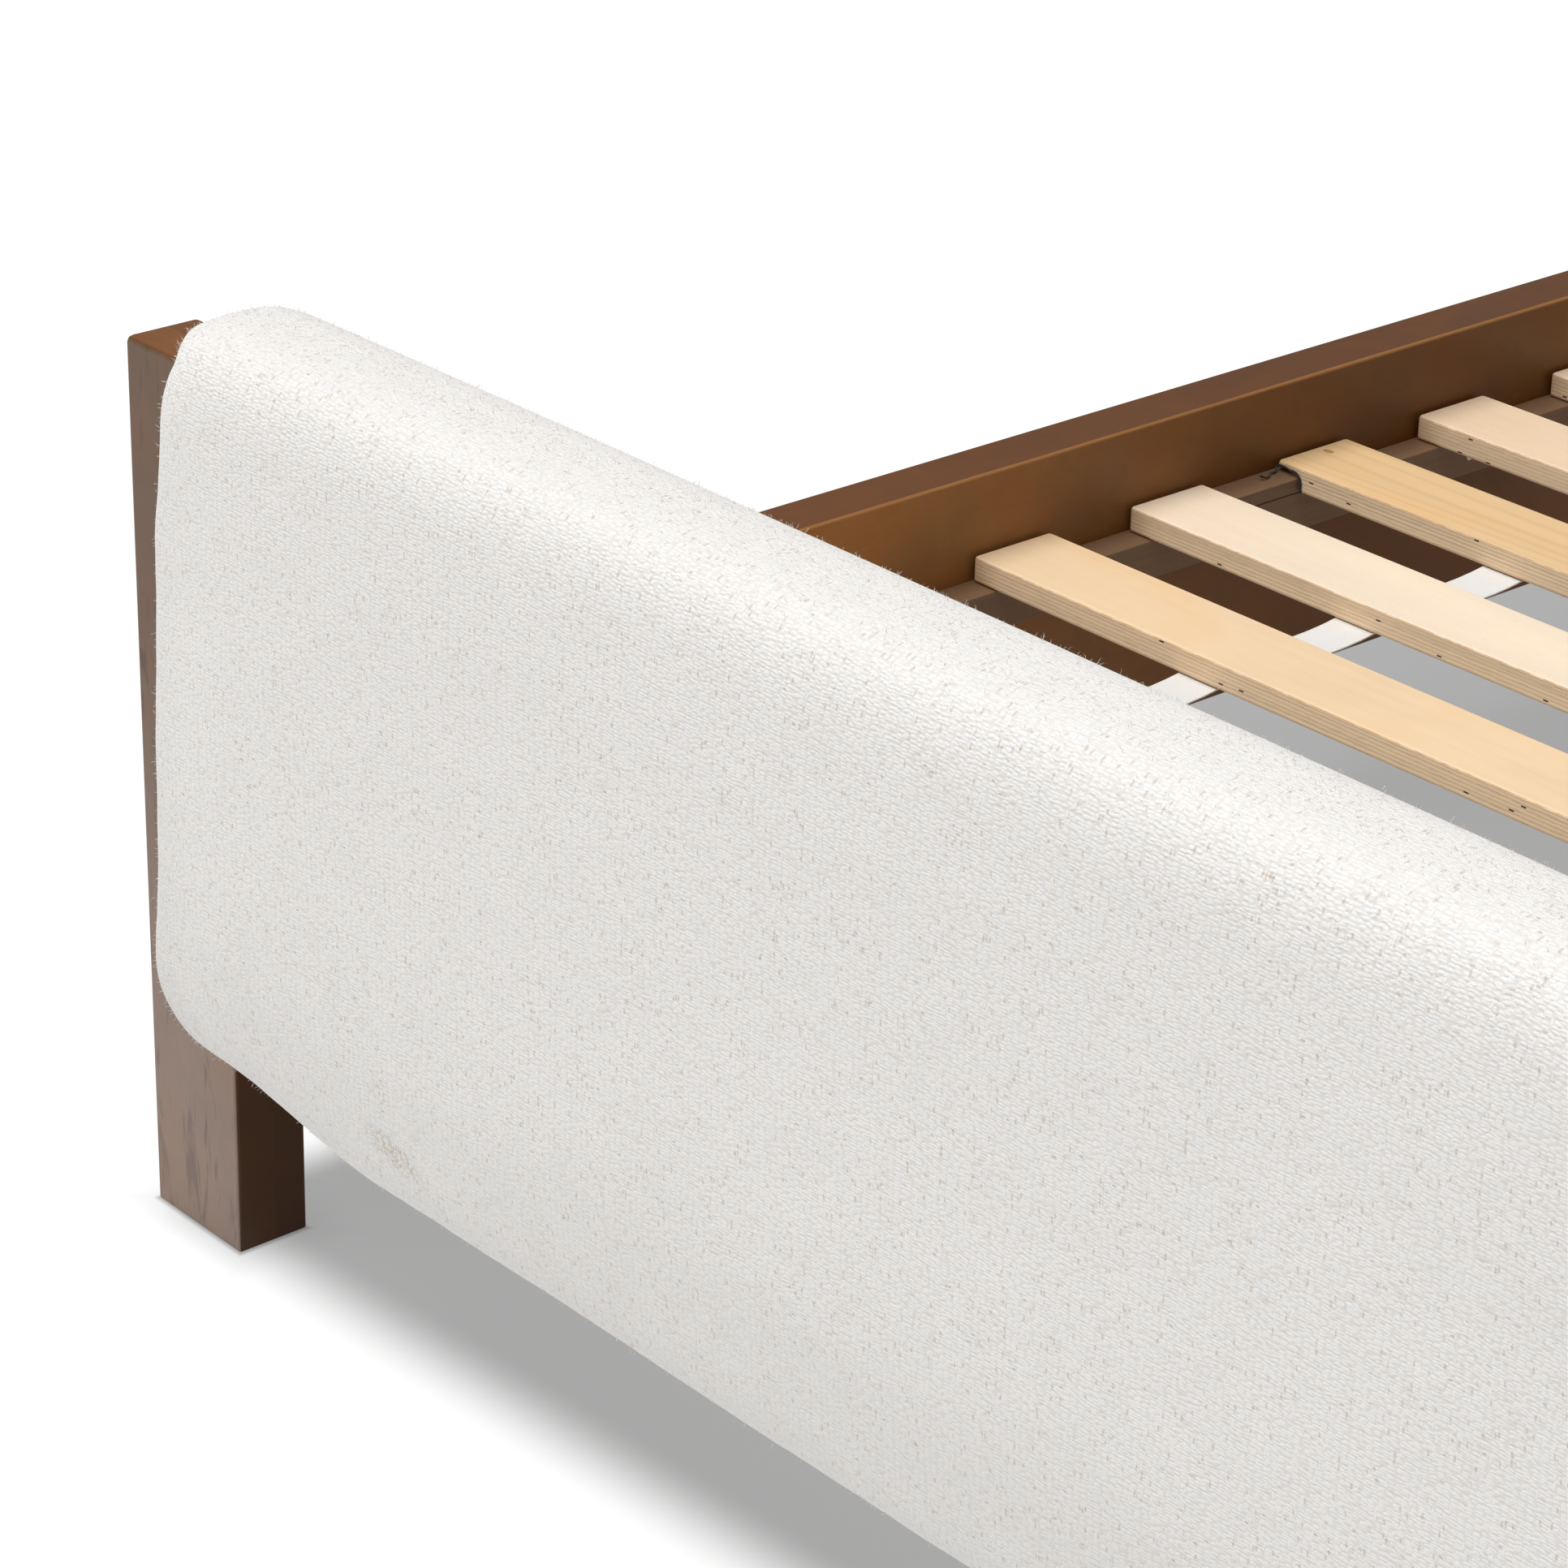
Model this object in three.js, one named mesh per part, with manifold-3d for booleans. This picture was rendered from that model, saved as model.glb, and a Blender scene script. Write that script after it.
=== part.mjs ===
// Queen bed frame with an upholstered footboard and headboard held between solid wood posts.
//
// Millimetres, +Z up. The origin is on the floor under the middle of the bed. +Y runs from the
// foot to the head, and -X is the left side as seen from the foot.
import * as THREE from 'three';
import { RoundedBoxGeometry } from 'three/addons/geometries/RoundedBoxGeometry.js';
import { mergeVertices } from 'three/addons/utils/BufferGeometryUtils.js';
import Module from 'manifold-3d';

const wasm = await Module();
wasm.setup();

// ---- Driving dimensions ----
const FIT = 0.3;                      // gap left between pieces that touch

// Queen mattress, 1524 x 2032, with room for bedding
const RAIL_GAP = 1540;                // between the side rails' inner faces
const BED_OPENING = 2045;             // from the footboard's back to the headboard's cushion

// Posts
const POST_W = 88;
const POST_D = 50;
const FOOT_POST_H = 565;
const HEAD_POST_H = 1120;
const POST_EASE = 3;

// Side rails and the ledges that carry the slats
const RAIL_T = 42;
const RAIL_H = 227;
const RAIL_Z = 113.5;
const RAIL_SET_BACK = 2;              // rail's outer face behind the post's outer face
const LEDGE_W = 25;
const LEDGE_H = 29;
const LEDGE_TOP = 267;
const LEDGE_END_GAP = 6;

// Slats
const SLAT_COUNT = 13;
const SLAT_W = 71;
const SLAT_T = 18.2;
const SLAT_PITCH = 146.7;
const SLAT_START = 141.5;             // from the foot posts' back to the first slat's edge
const SLAT_END_GAP = 3;               // between a slat's end and the rail
const SLAT_EASE = 2.5;
const NOTCHED_SLAT = 6;               // this slat, counted from the foot, sits over the stop blocks

// Stop blocks that keep the slat roll from creeping along the ledge
const BLOCK_H = 11;
const BLOCK_UNDER_SLAT = 14;
const NOTCH_L = 25;
const NOTCH_TOP = 3.4;                // wood left above the notch
const NOTCH_R = 9;

// Webbing under the slats
const WEBBING_W = 34;
const WEBBING_T = 1.2;
const WEBBING_FROM_POST = 169;        // strap's centre line to the post's inner face
const WEBBING_SAG = 3;

// Upholstered panels
const PAD_PROUD = 75;                 // how far the cushion stands out past the posts
const PAD_TOP_R = 60;                 // rolled top edge
const PAD_BOTTOM_R = 28;
const PAD_CORNER_R = 105;             // top corners, seen from the front
const PAD_LOW_CORNER_R = 40;
const PAD_SIDE_R = 42;                // front corners, seen from above
const FOOT_PAD_Z = [150, 628];
const HEAD_PAD_Z = [300, 1176];
const PAD_END_GAP = 1.5;
const CORE_T = 18;
const CORE_MARGIN_LOW = 25;
const CORE_MARGIN_TOP = 68;
const CORE_CORNER_R = 80;
const BACK_CLOTH_T = 1.3;

// Headboard's lower cross rail
const CROSS_RAIL_T = 25;
const CROSS_RAIL_Z = [113.5, 290];
const CROSS_RAIL_SET_BACK = 8;

// Centre beam, its hangers, legs and levelling glides
const BEAM_W = 45;
const BEAM_H = 60;
const HANGER_T = 2.5;
const HANGER_SEAT = 40;
const HANGER_PLATE = [96, 92];
const LEG_SIZE = 45;
const LEG_BOTTOM = 22;
const LEG_PLACES = [1 / 3, 2 / 3];    // along the rails' length
const GLIDE_R = 16;
const GLIDE_H = 8;
const GLIDE_STEM_R = 4;
const GLIDE_STEM_TOP = 52;
const GLIDE_BORE_R = 4.4;
const GLIDE_BORE_TOP = 68;

// Corner brackets and bolts
const BRACKET_T = 3;
const BRACKET_LEG = 38;
const BRACKET_Z = [126, 232];
const BOLT_R = 4;
const BOLT_HOLE_R = 4.4;
const BOLT_HEAD_R = 7.5;
const BOLT_HEAD_H = 5.3;
const BRACKET_BOLT_L = 42;
const BRACKET_BOLT_Z = [152, 206];
const PANEL_BOLT_L = 118;
const PANEL_BOLT_RECESS_R = 9;
const PANEL_BOLT_RECESS = 8;
const FOOT_PANEL_BOLT_Z = [240, 470];
const HEAD_PANEL_BOLT_Z = [420, 980];

// Loose black thread at the notched slat
const THREAD_R = 0.7;

// ---- Places worked out from the dimensions ----
const RAIL_IN = RAIL_GAP / 2;
const RAIL_OUT = RAIL_IN + RAIL_T;
const POST_OUT = RAIL_OUT + RAIL_SET_BACK;
const POST_IN = POST_OUT - POST_W;
const LENGTH = PAD_PROUD + POST_D + BED_OPENING + PAD_PROUD + POST_D;
const FOOT_FRONT = -LENGTH / 2 + PAD_PROUD;
const FOOT_BACK = FOOT_FRONT + POST_D;
const HEAD_BACK = LENGTH / 2;
const HEAD_FRONT = HEAD_BACK - POST_D;
const RAIL_LENGTH = HEAD_FRONT - FOOT_BACK;
const SLAT_Z = LEDGE_TOP + FIT;
const SLAT_LENGTH = RAIL_GAP - 2 * SLAT_END_GAP;
const PAD_HALF = POST_IN - PAD_END_GAP;
const PANEL_BOLT_Y = PAD_PROUD + POST_D - BACK_CLOTH_T - FIT - CORE_T / 2;

// ---- Finishes ----
function finish(color, roughness, metalness = 0) {
  return new THREE.MeshStandardMaterial({ color, roughness, metalness });
}

const WALNUT = finish(0x5a3a22, 0.5);
const LEDGE_WOOD = finish(0x6b5242, 0.65);
const BIRCH_PLY = finish(0xe6cba4, 0.55);
const PINE = finish(0xd0ae7c, 0.6);
const BOUCLE = finish(0xe9e6e1, 0.95);
const BACK_CLOTH = finish(0x2c2c2e, 0.95);
const WEBBING = finish(0xf0efec, 0.9);
const STEEL = finish(0x3a3b3d, 0.45, 0.9);
const ZINC = finish(0xb4b6b9, 0.35, 0.95);
const GLIDE_PLASTIC = finish(0x242425, 0.6);
const THREAD = finish(0x131419, 0.9);

// ---- Shape helpers ----
// Every shape is turned into a solid by its merged triangles, so that it can be cut.
function solid(geometry) {
  const bare = geometry.clone();
  bare.deleteAttribute('normal');
  bare.deleteAttribute('uv');
  const merged = mergeVertices(bare, 1e-4);
  return new wasm.Manifold(new wasm.Mesh({
    numProp: 3,
    vertProperties: new Float32Array(merged.attributes.position.array),
    triVerts: new Uint32Array(merged.index.array),
  }));
}

function geometryOf(manifold) {
  const mesh = manifold.getMesh();
  const geometry = new THREE.BufferGeometry();
  geometry.setAttribute('position', new THREE.BufferAttribute(mesh.vertProperties, 3));
  geometry.setIndex(new THREE.BufferAttribute(mesh.triVerts, 1));
  geometry.computeVertexNormals();
  return geometry;
}

// A box between two corners
function block(low, high) {
  const size = high.map((value, axis) => value - low[axis]);
  const geometry = new THREE.BoxGeometry(...size);
  return solid(geometry.translate(...low.map((value, axis) => value + size[axis] / 2)));
}

// A board between two corners, with all its edges eased
function board(low, high, ease) {
  const size = high.map((value, axis) => value - low[axis]);
  const geometry = new RoundedBoxGeometry(...size, 1, ease);
  return solid(geometry.translate(...low.map((value, axis) => value + size[axis] / 2)));
}

// A round bar from a point along an axis; a negative length runs the other way
const TURN = {
  x: (geometry) => geometry.rotateZ(-Math.PI / 2),
  y: (geometry) => geometry,
  z: (geometry) => geometry.rotateX(Math.PI / 2),
};

function rod(radius, length, axis, start, sides = 20) {
  const along = new THREE.Vector3().setComponent('xyz'.indexOf(axis), length / 2);
  const geometry = TURN[axis](new THREE.CylinderGeometry(radius, radius, Math.abs(length), sides));
  return solid(geometry.translate(start[0] + along.x, start[1] + along.y, start[2] + along.z));
}

// A rectangle between two corners with its own radius at each corner, as an outline.
// The radii go round from the low corner: low-low, high-low, high-high, low-high.
function roundedOutline([x0, y0], [x1, y1], [r0, r1, r2, r3]) {
  const outline = new THREE.Shape();
  outline.absarc(x0 + r0, y0 + r0, r0, Math.PI, 1.5 * Math.PI);
  outline.absarc(x1 - r1, y0 + r1, r1, 1.5 * Math.PI, 2 * Math.PI);
  outline.absarc(x1 - r2, y1 - r2, r2, 0, 0.5 * Math.PI);
  outline.absarc(x0 + r3, y1 - r3, r3, 0.5 * Math.PI, Math.PI);
  outline.closePath();
  return outline;
}

// Extrusions of an outline along each axis, between two places on it
function prism(outline, depth, steps) {
  return new THREE.ExtrudeGeometry(outline, { depth, bevelEnabled: false, curveSegments: steps });
}

function alongX(outline, from, to, steps = 10) {
  // the outline's x is Y, and its y is Z
  const geometry = prism(outline, to - from, steps);
  return solid(geometry.rotateX(Math.PI / 2).rotateZ(Math.PI / 2).translate(from, 0, 0));
}

function alongY(outline, from, to, steps = 10) {
  // the outline's x is X, and its y is Z
  return solid(prism(outline, to - from, steps).rotateX(Math.PI / 2).translate(0, to, 0));
}

function alongZ(outline, from, to, steps = 10) {
  return solid(prism(outline, to - from, steps).translate(0, 0, from));
}

const bed = new THREE.Group();
bed.name = 'queen_bed_frame';

function add(name, manifold, material) {
  const mesh = new THREE.Mesh(geometryOf(manifold), material);
  mesh.name = name;
  bed.add(mesh);
}

const SIDES = { left: -1, right: 1 };

// Low and high corners of a piece made for the right side, mirrored for the left
function onSide(side, xIn, xOut) {
  return side > 0 ? [xIn, xOut] : [-xOut, -xIn];
}

// ---- Posts ----
// Two bolts hold each corner bracket, and two more hold the upholstered panel.
function postHoles(side, bracketFace, into, bracketBoltX, panelY, panelZ) {
  const holes = BRACKET_BOLT_Z.map((z) => (
    rod(BOLT_HOLE_R, into * (BRACKET_BOLT_L + 2), 'y', [side * bracketBoltX, bracketFace, z])));
  for (const z of panelZ) {
    const outer = side * (POST_OUT + 1);
    holes.push(rod(BOLT_HOLE_R, -side * (POST_W + 2), 'x', [outer, panelY, z]));
    holes.push(rod(PANEL_BOLT_RECESS_R, -side * (PANEL_BOLT_RECESS + 1), 'x', [outer, panelY, z]));
  }
  return holes;
}

const BRACKET_BOLT_X = RAIL_IN - BRACKET_LEG / 2 - 2;
const ENDS = {
  foot: {
    front: FOOT_FRONT, back: FOOT_BACK, face: FOOT_BACK, into: -1, height: FOOT_POST_H,
    pad: FOOT_PAD_Z, panelBolts: FOOT_PANEL_BOLT_Z,
  },
  head: {
    front: HEAD_FRONT, back: HEAD_BACK, face: HEAD_FRONT, into: 1, height: HEAD_POST_H,
    pad: HEAD_PAD_Z, panelBolts: HEAD_PANEL_BOLT_Z,
  },
};

for (const [endName, end] of Object.entries(ENDS)) {
  const panelBoltY = end.front - PAD_PROUD + PANEL_BOLT_Y;
  for (const [sideName, side] of Object.entries(SIDES)) {
    const [x0, x1] = onSide(side, POST_IN, POST_OUT);
    let post = board([x0, end.front, 0], [x1, end.back, end.height], POST_EASE);
    const holes = postHoles(side, end.face, end.into, BRACKET_BOLT_X, panelBoltY, end.panelBolts);
    for (const hole of holes) {
      post = post.subtract(hole);
    }
    add(`${endName}_post_${sideName}`, post, WALNUT);
  }
}

// ---- Side rails and ledges ----
for (const [sideName, side] of Object.entries(SIDES)) {
  const [x0, x1] = onSide(side, RAIL_IN, RAIL_OUT);
  const rail = board(
    [x0, FOOT_BACK + FIT, RAIL_Z], [x1, HEAD_FRONT - FIT, RAIL_Z + RAIL_H], 2);
  add(`side_rail_${sideName}`, rail, WALNUT);

  const [l0, l1] = onSide(side, RAIL_IN - LEDGE_W, RAIL_IN - FIT);
  const ledge = board(
    [l0, FOOT_BACK + LEDGE_END_GAP, LEDGE_TOP - LEDGE_H],
    [l1, HEAD_FRONT - LEDGE_END_GAP, LEDGE_TOP], 1);
  add(`slat_ledge_${sideName}`, ledge, LEDGE_WOOD);
}

// ---- Slats ----
function slatFront(index) {
  return FOOT_BACK + SLAT_START + (index - 1) * SLAT_PITCH;
}

// The notch leaves a thin tongue of wood over the stop block, with a rounded inner corner.
function endNotch(side) {
  const tip = SLAT_LENGTH / 2 + 1;
  const root = SLAT_LENGTH / 2 - NOTCH_L;
  const roof = SLAT_Z + SLAT_T - NOTCH_TOP;
  const outline = new THREE.Shape();
  outline.moveTo(tip, SLAT_Z - 1);
  outline.lineTo(tip, roof);
  outline.lineTo(root + NOTCH_R, roof);
  outline.absarc(root + NOTCH_R, roof - NOTCH_R, NOTCH_R, Math.PI / 2, Math.PI);
  outline.lineTo(root, SLAT_Z - 1);
  outline.closePath();
  const front = slatFront(NOTCHED_SLAT);
  const notch = alongY(outline, front - 1, front + BLOCK_UNDER_SLAT + 1, 6);
  return side > 0 ? notch : notch.mirror([1, 0, 0]);
}

for (let index = 1; index <= SLAT_COUNT; index += 1) {
  const front = slatFront(index);
  let slat = board(
    [-SLAT_LENGTH / 2, front, SLAT_Z],
    [SLAT_LENGTH / 2, front + SLAT_W, SLAT_Z + SLAT_T], SLAT_EASE);
  if (index === NOTCHED_SLAT) {
    slat = slat.subtract(endNotch(1)).subtract(endNotch(-1));
  }
  add(`slat_${String(index).padStart(2, '0')}`, slat, BIRCH_PLY);
}

// ---- Stop blocks on the ledges ----
for (const [sideName, side] of Object.entries(SIDES)) {
  const [x0, x1] = onSide(side, RAIL_IN - LEDGE_W, RAIL_IN - FIT);
  const y0 = slatFront(NOTCHED_SLAT - 1) + SLAT_W + 1;
  const y1 = slatFront(NOTCHED_SLAT) + BLOCK_UNDER_SLAT;
  const stop = board([x0, y0, LEDGE_TOP + FIT], [x1, y1, LEDGE_TOP + FIT + BLOCK_H], 1);
  add(`slat_stop_block_${sideName}`, stop, LEDGE_WOOD);
}

// ---- Webbing ----
// One strap under the slats on each side, stapled to each slat and sagging between them
function webbingOutline() {
  const top = SLAT_Z - FIT;
  const low = top - WEBBING_T;
  const outline = new THREE.Shape();
  const ends = [];
  for (let index = 1; index <= SLAT_COUNT; index += 1) {
    ends.push([slatFront(index) + 4, slatFront(index) + SLAT_W - 4]);
  }
  outline.moveTo(ends[0][0], top);
  outline.lineTo(ends[0][1], top);
  for (let index = 1; index < SLAT_COUNT; index += 1) {
    const middle = (ends[index - 1][1] + ends[index][0]) / 2;
    outline.quadraticCurveTo(middle, top - 2 * WEBBING_SAG, ends[index][0], top);
    outline.lineTo(ends[index][1], top);
  }
  outline.lineTo(ends[SLAT_COUNT - 1][1], low);
  outline.lineTo(ends[SLAT_COUNT - 1][0], low);
  for (let index = SLAT_COUNT - 1; index > 0; index -= 1) {
    const middle = (ends[index - 1][1] + ends[index][0]) / 2;
    outline.quadraticCurveTo(middle, low - 2 * WEBBING_SAG, ends[index - 1][1], low);
    outline.lineTo(ends[index - 1][0], low);
  }
  outline.closePath();
  return outline;
}

const WEBBING_X = POST_IN - WEBBING_FROM_POST;
for (const [sideName, side] of Object.entries(SIDES)) {
  const [x0, x1] = onSide(side, WEBBING_X - WEBBING_W / 2, WEBBING_X + WEBBING_W / 2);
  add(`slat_webbing_${sideName}`, alongX(webbingOutline(), x0, x1, 5), WEBBING);
}

// ---- Upholstered panels ----
// The cushion's outer shape is where three rounded outlines meet: its end section, its front view
// and its plan. The plywood core sits in a pocket that opens to the back, under a thin cloth.
function cushion(front, back, [bottom, top]) {
  const section = roundedOutline(
    [front, bottom], [back, top], [PAD_BOTTOM_R, 12, PAD_TOP_R, PAD_TOP_R]);
  const view = roundedOutline(
    [-PAD_HALF, bottom], [PAD_HALF, top],
    [PAD_LOW_CORNER_R, PAD_LOW_CORNER_R, PAD_CORNER_R, PAD_CORNER_R]);
  const plan = roundedOutline([-PAD_HALF, front], [PAD_HALF, back], [PAD_SIDE_R, PAD_SIDE_R, 8, 8]);
  const body = alongX(section, -PAD_HALF, PAD_HALF, 8)
    .intersect(alongY(view, front, back, 8))
    .intersect(alongZ(plan, bottom, top, 6));
  const pocket = block(
    [-PAD_HALF - 1, back - BACK_CLOTH_T - 2 * FIT - CORE_T, bottom + CORE_MARGIN_LOW - FIT],
    [PAD_HALF + 1, back + 1, top - CORE_MARGIN_TOP + FIT]);
  return body.subtract(pocket);
}

function panelView([bottom, top]) {
  return roundedOutline(
    [-PAD_HALF + 2, bottom + CORE_MARGIN_LOW], [PAD_HALF - 2, top - CORE_MARGIN_TOP],
    [20, 20, CORE_CORNER_R, CORE_CORNER_R]);
}

for (const [endName, end] of Object.entries(ENDS)) {
  const front = end.front - PAD_PROUD;
  add(`${endName}board_cushion`, cushion(front, end.back, end.pad), BOUCLE);

  const coreBack = end.back - BACK_CLOTH_T - FIT;
  let core = alongY(panelView(end.pad), coreBack - CORE_T, coreBack, 8);
  for (const z of end.panelBolts) {
    for (const side of [-1, 1]) {
      const start = [side * (PAD_HALF + 1), front + PANEL_BOLT_Y, z];
      core = core.subtract(rod(BOLT_HOLE_R, -side * 60, 'x', start));
    }
  }
  add(`${endName}board_plywood_core`, core, PINE);

  const cloth = alongY(panelView(end.pad), end.back - BACK_CLOTH_T, end.back, 8);
  add(`${endName}board_back_cloth`, cloth, BACK_CLOTH);
}

// ---- Headboard's lower cross rail ----
const CROSS_RAIL_FRONT = HEAD_FRONT + CROSS_RAIL_SET_BACK;
const crossRail = board(
  [-POST_IN + FIT, CROSS_RAIL_FRONT, CROSS_RAIL_Z[0]],
  [POST_IN - FIT, CROSS_RAIL_FRONT + CROSS_RAIL_T, CROSS_RAIL_Z[1]], 2);
add('headboard_cross_rail', crossRail, WALNUT);

// ---- Centre beam and its hangers ----
const BEAM_FRONT = FOOT_BACK + FIT + HANGER_T + 1;
const BEAM_BACK = CROSS_RAIL_FRONT - FIT - HANGER_T - 1;
const BEAM_BOTTOM = LEDGE_TOP - BEAM_H;
const beam = board(
  [-BEAM_W / 2, BEAM_FRONT, BEAM_BOTTOM], [BEAM_W / 2, BEAM_BACK, LEDGE_TOP], 2);
add('centre_beam', beam, PINE);

// A folded steel seat on a back plate; into is the way from the plate to the beam
function hanger(face, into) {
  const span = (from, to) => [face + into * from, face + into * to].sort((a, b) => a - b);
  const [plate0, plate1] = span(FIT, FIT + HANGER_T);
  const [seat0, seat1] = span(FIT + HANGER_T / 2, FIT + HANGER_SEAT);
  const inside = BEAM_W / 2 + FIT;
  const floor = BEAM_BOTTOM - FIT;
  const outside = inside + HANGER_T;
  const plateTop = BEAM_BOTTOM + BEAM_H / 2 + HANGER_PLATE[1] / 2 - 18;
  const plate = block(
    [-HANGER_PLATE[0] / 2, plate0, plateTop - HANGER_PLATE[1]],
    [HANGER_PLATE[0] / 2, plate1, plateTop]);
  const channel = block([-outside, seat0, floor - HANGER_T], [outside, seat1, LEDGE_TOP - 12]);
  const [cut0, cut1] = span(FIT + HANGER_T, FIT + HANGER_SEAT + 1);
  return channel.subtract(block([-inside, cut0, floor], [inside, cut1, LEDGE_TOP])).add(plate);
}

add('foot_beam_hanger', hanger(FOOT_BACK, 1), STEEL);
add('head_beam_hanger', hanger(CROSS_RAIL_FRONT, -1), STEEL);

// ---- Centre legs and levelling glides ----
LEG_PLACES.forEach((place, index) => {
  const y = FOOT_BACK + place * RAIL_LENGTH;
  const half = LEG_SIZE / 2;
  const leg = board(
    [-half, y - half, LEG_BOTTOM], [half, y + half, BEAM_BOTTOM - FIT], 2)
    .subtract(rod(GLIDE_BORE_R, GLIDE_BORE_TOP, 'z', [0, y, 0], 24));
  add(`centre_leg_${index + 1}`, leg, PINE);

  const profile = [
    [0, 0], [GLIDE_R - 2, 0], [GLIDE_R, 2], [GLIDE_R, GLIDE_H - 2], [GLIDE_R - 3, GLIDE_H],
    [GLIDE_STEM_R, GLIDE_H], [GLIDE_STEM_R, GLIDE_STEM_TOP - 1], [GLIDE_STEM_R - 1, GLIDE_STEM_TOP],
    [0, GLIDE_STEM_TOP],
  ].map(([radius, height]) => new THREE.Vector2(radius, height));
  const glide = new THREE.LatheGeometry(profile, 24).rotateX(Math.PI / 2).translate(0, y, 0);
  add(`levelling_glide_${index + 1}`, solid(glide), GLIDE_PLASTIC);
});

// ---- Corner brackets and their bolts ----
function hexBolt(length, axis, start, into) {
  const head = [...start];
  const axisIndex = 'xyz'.indexOf(axis);
  head[axisIndex] -= into * BOLT_HEAD_H;
  return rod(BOLT_HEAD_R, into * BOLT_HEAD_H, axis, head, 6)
    .add(rod(BOLT_R, into * length, axis, start, 16));
}

for (const [endName, end] of Object.entries(ENDS)) {
  const away = -end.into;
  for (const [sideName, side] of Object.entries(SIDES)) {
    const span = (from, to) => [end.face + away * from, end.face + away * to].sort((a, b) => a - b);
    const [p0, p1] = span(FIT, FIT + BRACKET_T);
    const [r0, r1] = span(FIT, FIT + BRACKET_LEG);
    const [px0, px1] = onSide(side, RAIL_IN - FIT - BRACKET_LEG, RAIL_IN - FIT);
    const [rx0, rx1] = onSide(side, RAIL_IN - FIT - BRACKET_T, RAIL_IN - FIT);
    let bracket = block([px0, p0, BRACKET_Z[0]], [px1, p1, BRACKET_Z[1]])
      .add(block([rx0, r0, BRACKET_Z[0]], [rx1, r1, BRACKET_Z[1]]));
    const under = end.face + away * (FIT + BRACKET_T + 1);
    for (const z of BRACKET_BOLT_Z) {
      const hole = rod(BOLT_HOLE_R, -away * 6, 'y', [side * BRACKET_BOLT_X, under, z]);
      bracket = bracket.subtract(hole);
    }
    add(`corner_bracket_${endName}_${sideName}`, bracket, STEEL);

    BRACKET_BOLT_Z.forEach((z, index) => {
      const seat = end.face + away * (2 * FIT + BRACKET_T);
      const bolt = hexBolt(BRACKET_BOLT_L, 'y', [side * BRACKET_BOLT_X, seat, z], -away);
      add(`bracket_bolt_${endName}_${sideName}_${index + 1}`, bolt, ZINC);
    });

    const panelY = end.front - PAD_PROUD + PANEL_BOLT_Y;
    end.panelBolts.forEach((z, index) => {
      const seat = side * (POST_OUT - PANEL_BOLT_RECESS + FIT);
      const bolt = hexBolt(PANEL_BOLT_L, 'x', [seat, panelY, z], -side);
      add(`panel_bolt_${endName}_${sideName}_${index + 1}`, bolt, ZINC);
    });
  }
}

// ---- Loose thread at the notched slat's left end ----
// It lies on the stop block, climbs at the slat's tip and follows the edge of the notch down.
const threadTip = -SLAT_LENGTH / 2;
const threadFront = slatFront(NOTCHED_SLAT);
const threadFloor = LEDGE_TOP + FIT + BLOCK_H + FIT + THREAD_R;
const threadRoute = [
  [8.5, -24, 1.6], [9.8, -20.5, 0.4], [8.2, -16.5, 0.4], [5.6, -12.5, 0.4], [5.8, -9, 0.4],
  [4.6, -6, 0.9], [3, -3.4, 1.9], [2.6, -1.9, 3.2], [4.8, -1.5, 3.7], [8, -1.4, 3.5],
  [11.5, -1.4, 3.1], [14.8, -1.4, 2.4], [18, -1.4, 1.6], [21, -1.4, 1], [23.4, -1.4, -0.4],
  [24.2, -1.4, -3.8], [24.4, -1.4, -7.6],
].map(([inward, along, up]) => (
  new THREE.Vector3(threadTip + inward, threadFront + along, threadFloor + up)));
const threadPath = new THREE.CatmullRomCurve3(threadRoute);
const threadSection = new THREE.Shape().absarc(0, 0, THREAD_R, 0, 2 * Math.PI);
const threadTube = new THREE.ExtrudeGeometry(threadSection, {
  steps: 40, curveSegments: 4, extrudePath: threadPath,
});
add('loose_thread', solid(threadTube), THREAD);

export default bed;
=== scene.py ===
import math

import bmesh
import bpy
import numpy as np
from mathutils import Matrix, Vector, noise


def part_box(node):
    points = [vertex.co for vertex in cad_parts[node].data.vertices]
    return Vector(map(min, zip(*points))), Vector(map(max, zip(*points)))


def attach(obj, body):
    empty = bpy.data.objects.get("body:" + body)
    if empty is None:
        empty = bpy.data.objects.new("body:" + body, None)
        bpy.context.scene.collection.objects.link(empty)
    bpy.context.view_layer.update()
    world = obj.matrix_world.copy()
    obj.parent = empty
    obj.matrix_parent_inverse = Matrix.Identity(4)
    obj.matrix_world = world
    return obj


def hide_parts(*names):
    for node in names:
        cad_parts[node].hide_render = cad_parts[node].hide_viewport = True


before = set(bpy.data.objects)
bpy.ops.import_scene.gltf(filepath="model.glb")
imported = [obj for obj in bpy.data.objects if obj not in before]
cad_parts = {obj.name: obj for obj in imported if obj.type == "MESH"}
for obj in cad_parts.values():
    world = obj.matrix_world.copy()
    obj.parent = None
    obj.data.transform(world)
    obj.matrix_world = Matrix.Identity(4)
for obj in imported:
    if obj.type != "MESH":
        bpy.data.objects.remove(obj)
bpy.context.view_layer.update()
bpy.ops.object.select_all(action="DESELECT")

# Queen bed frame: boucle end panels between walnut-stained posts, plywood slats on ledges.
# Metres in the CAD's frame: +Z up, +Y from the foot to the head, -X on the left seen from the foot.
MM = 0.001
BED = "bed_frame"
scene = bpy.context.scene
scene.view_settings.view_transform = "Standard"


# ---- Camera ----
EYE = Vector((1.33513, -2.46589, 1.47066))
YAW = math.radians(-48.480)
PITCH = math.radians(24.946)
ROLL = math.radians(1.395)
LENS = 108.03


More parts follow.
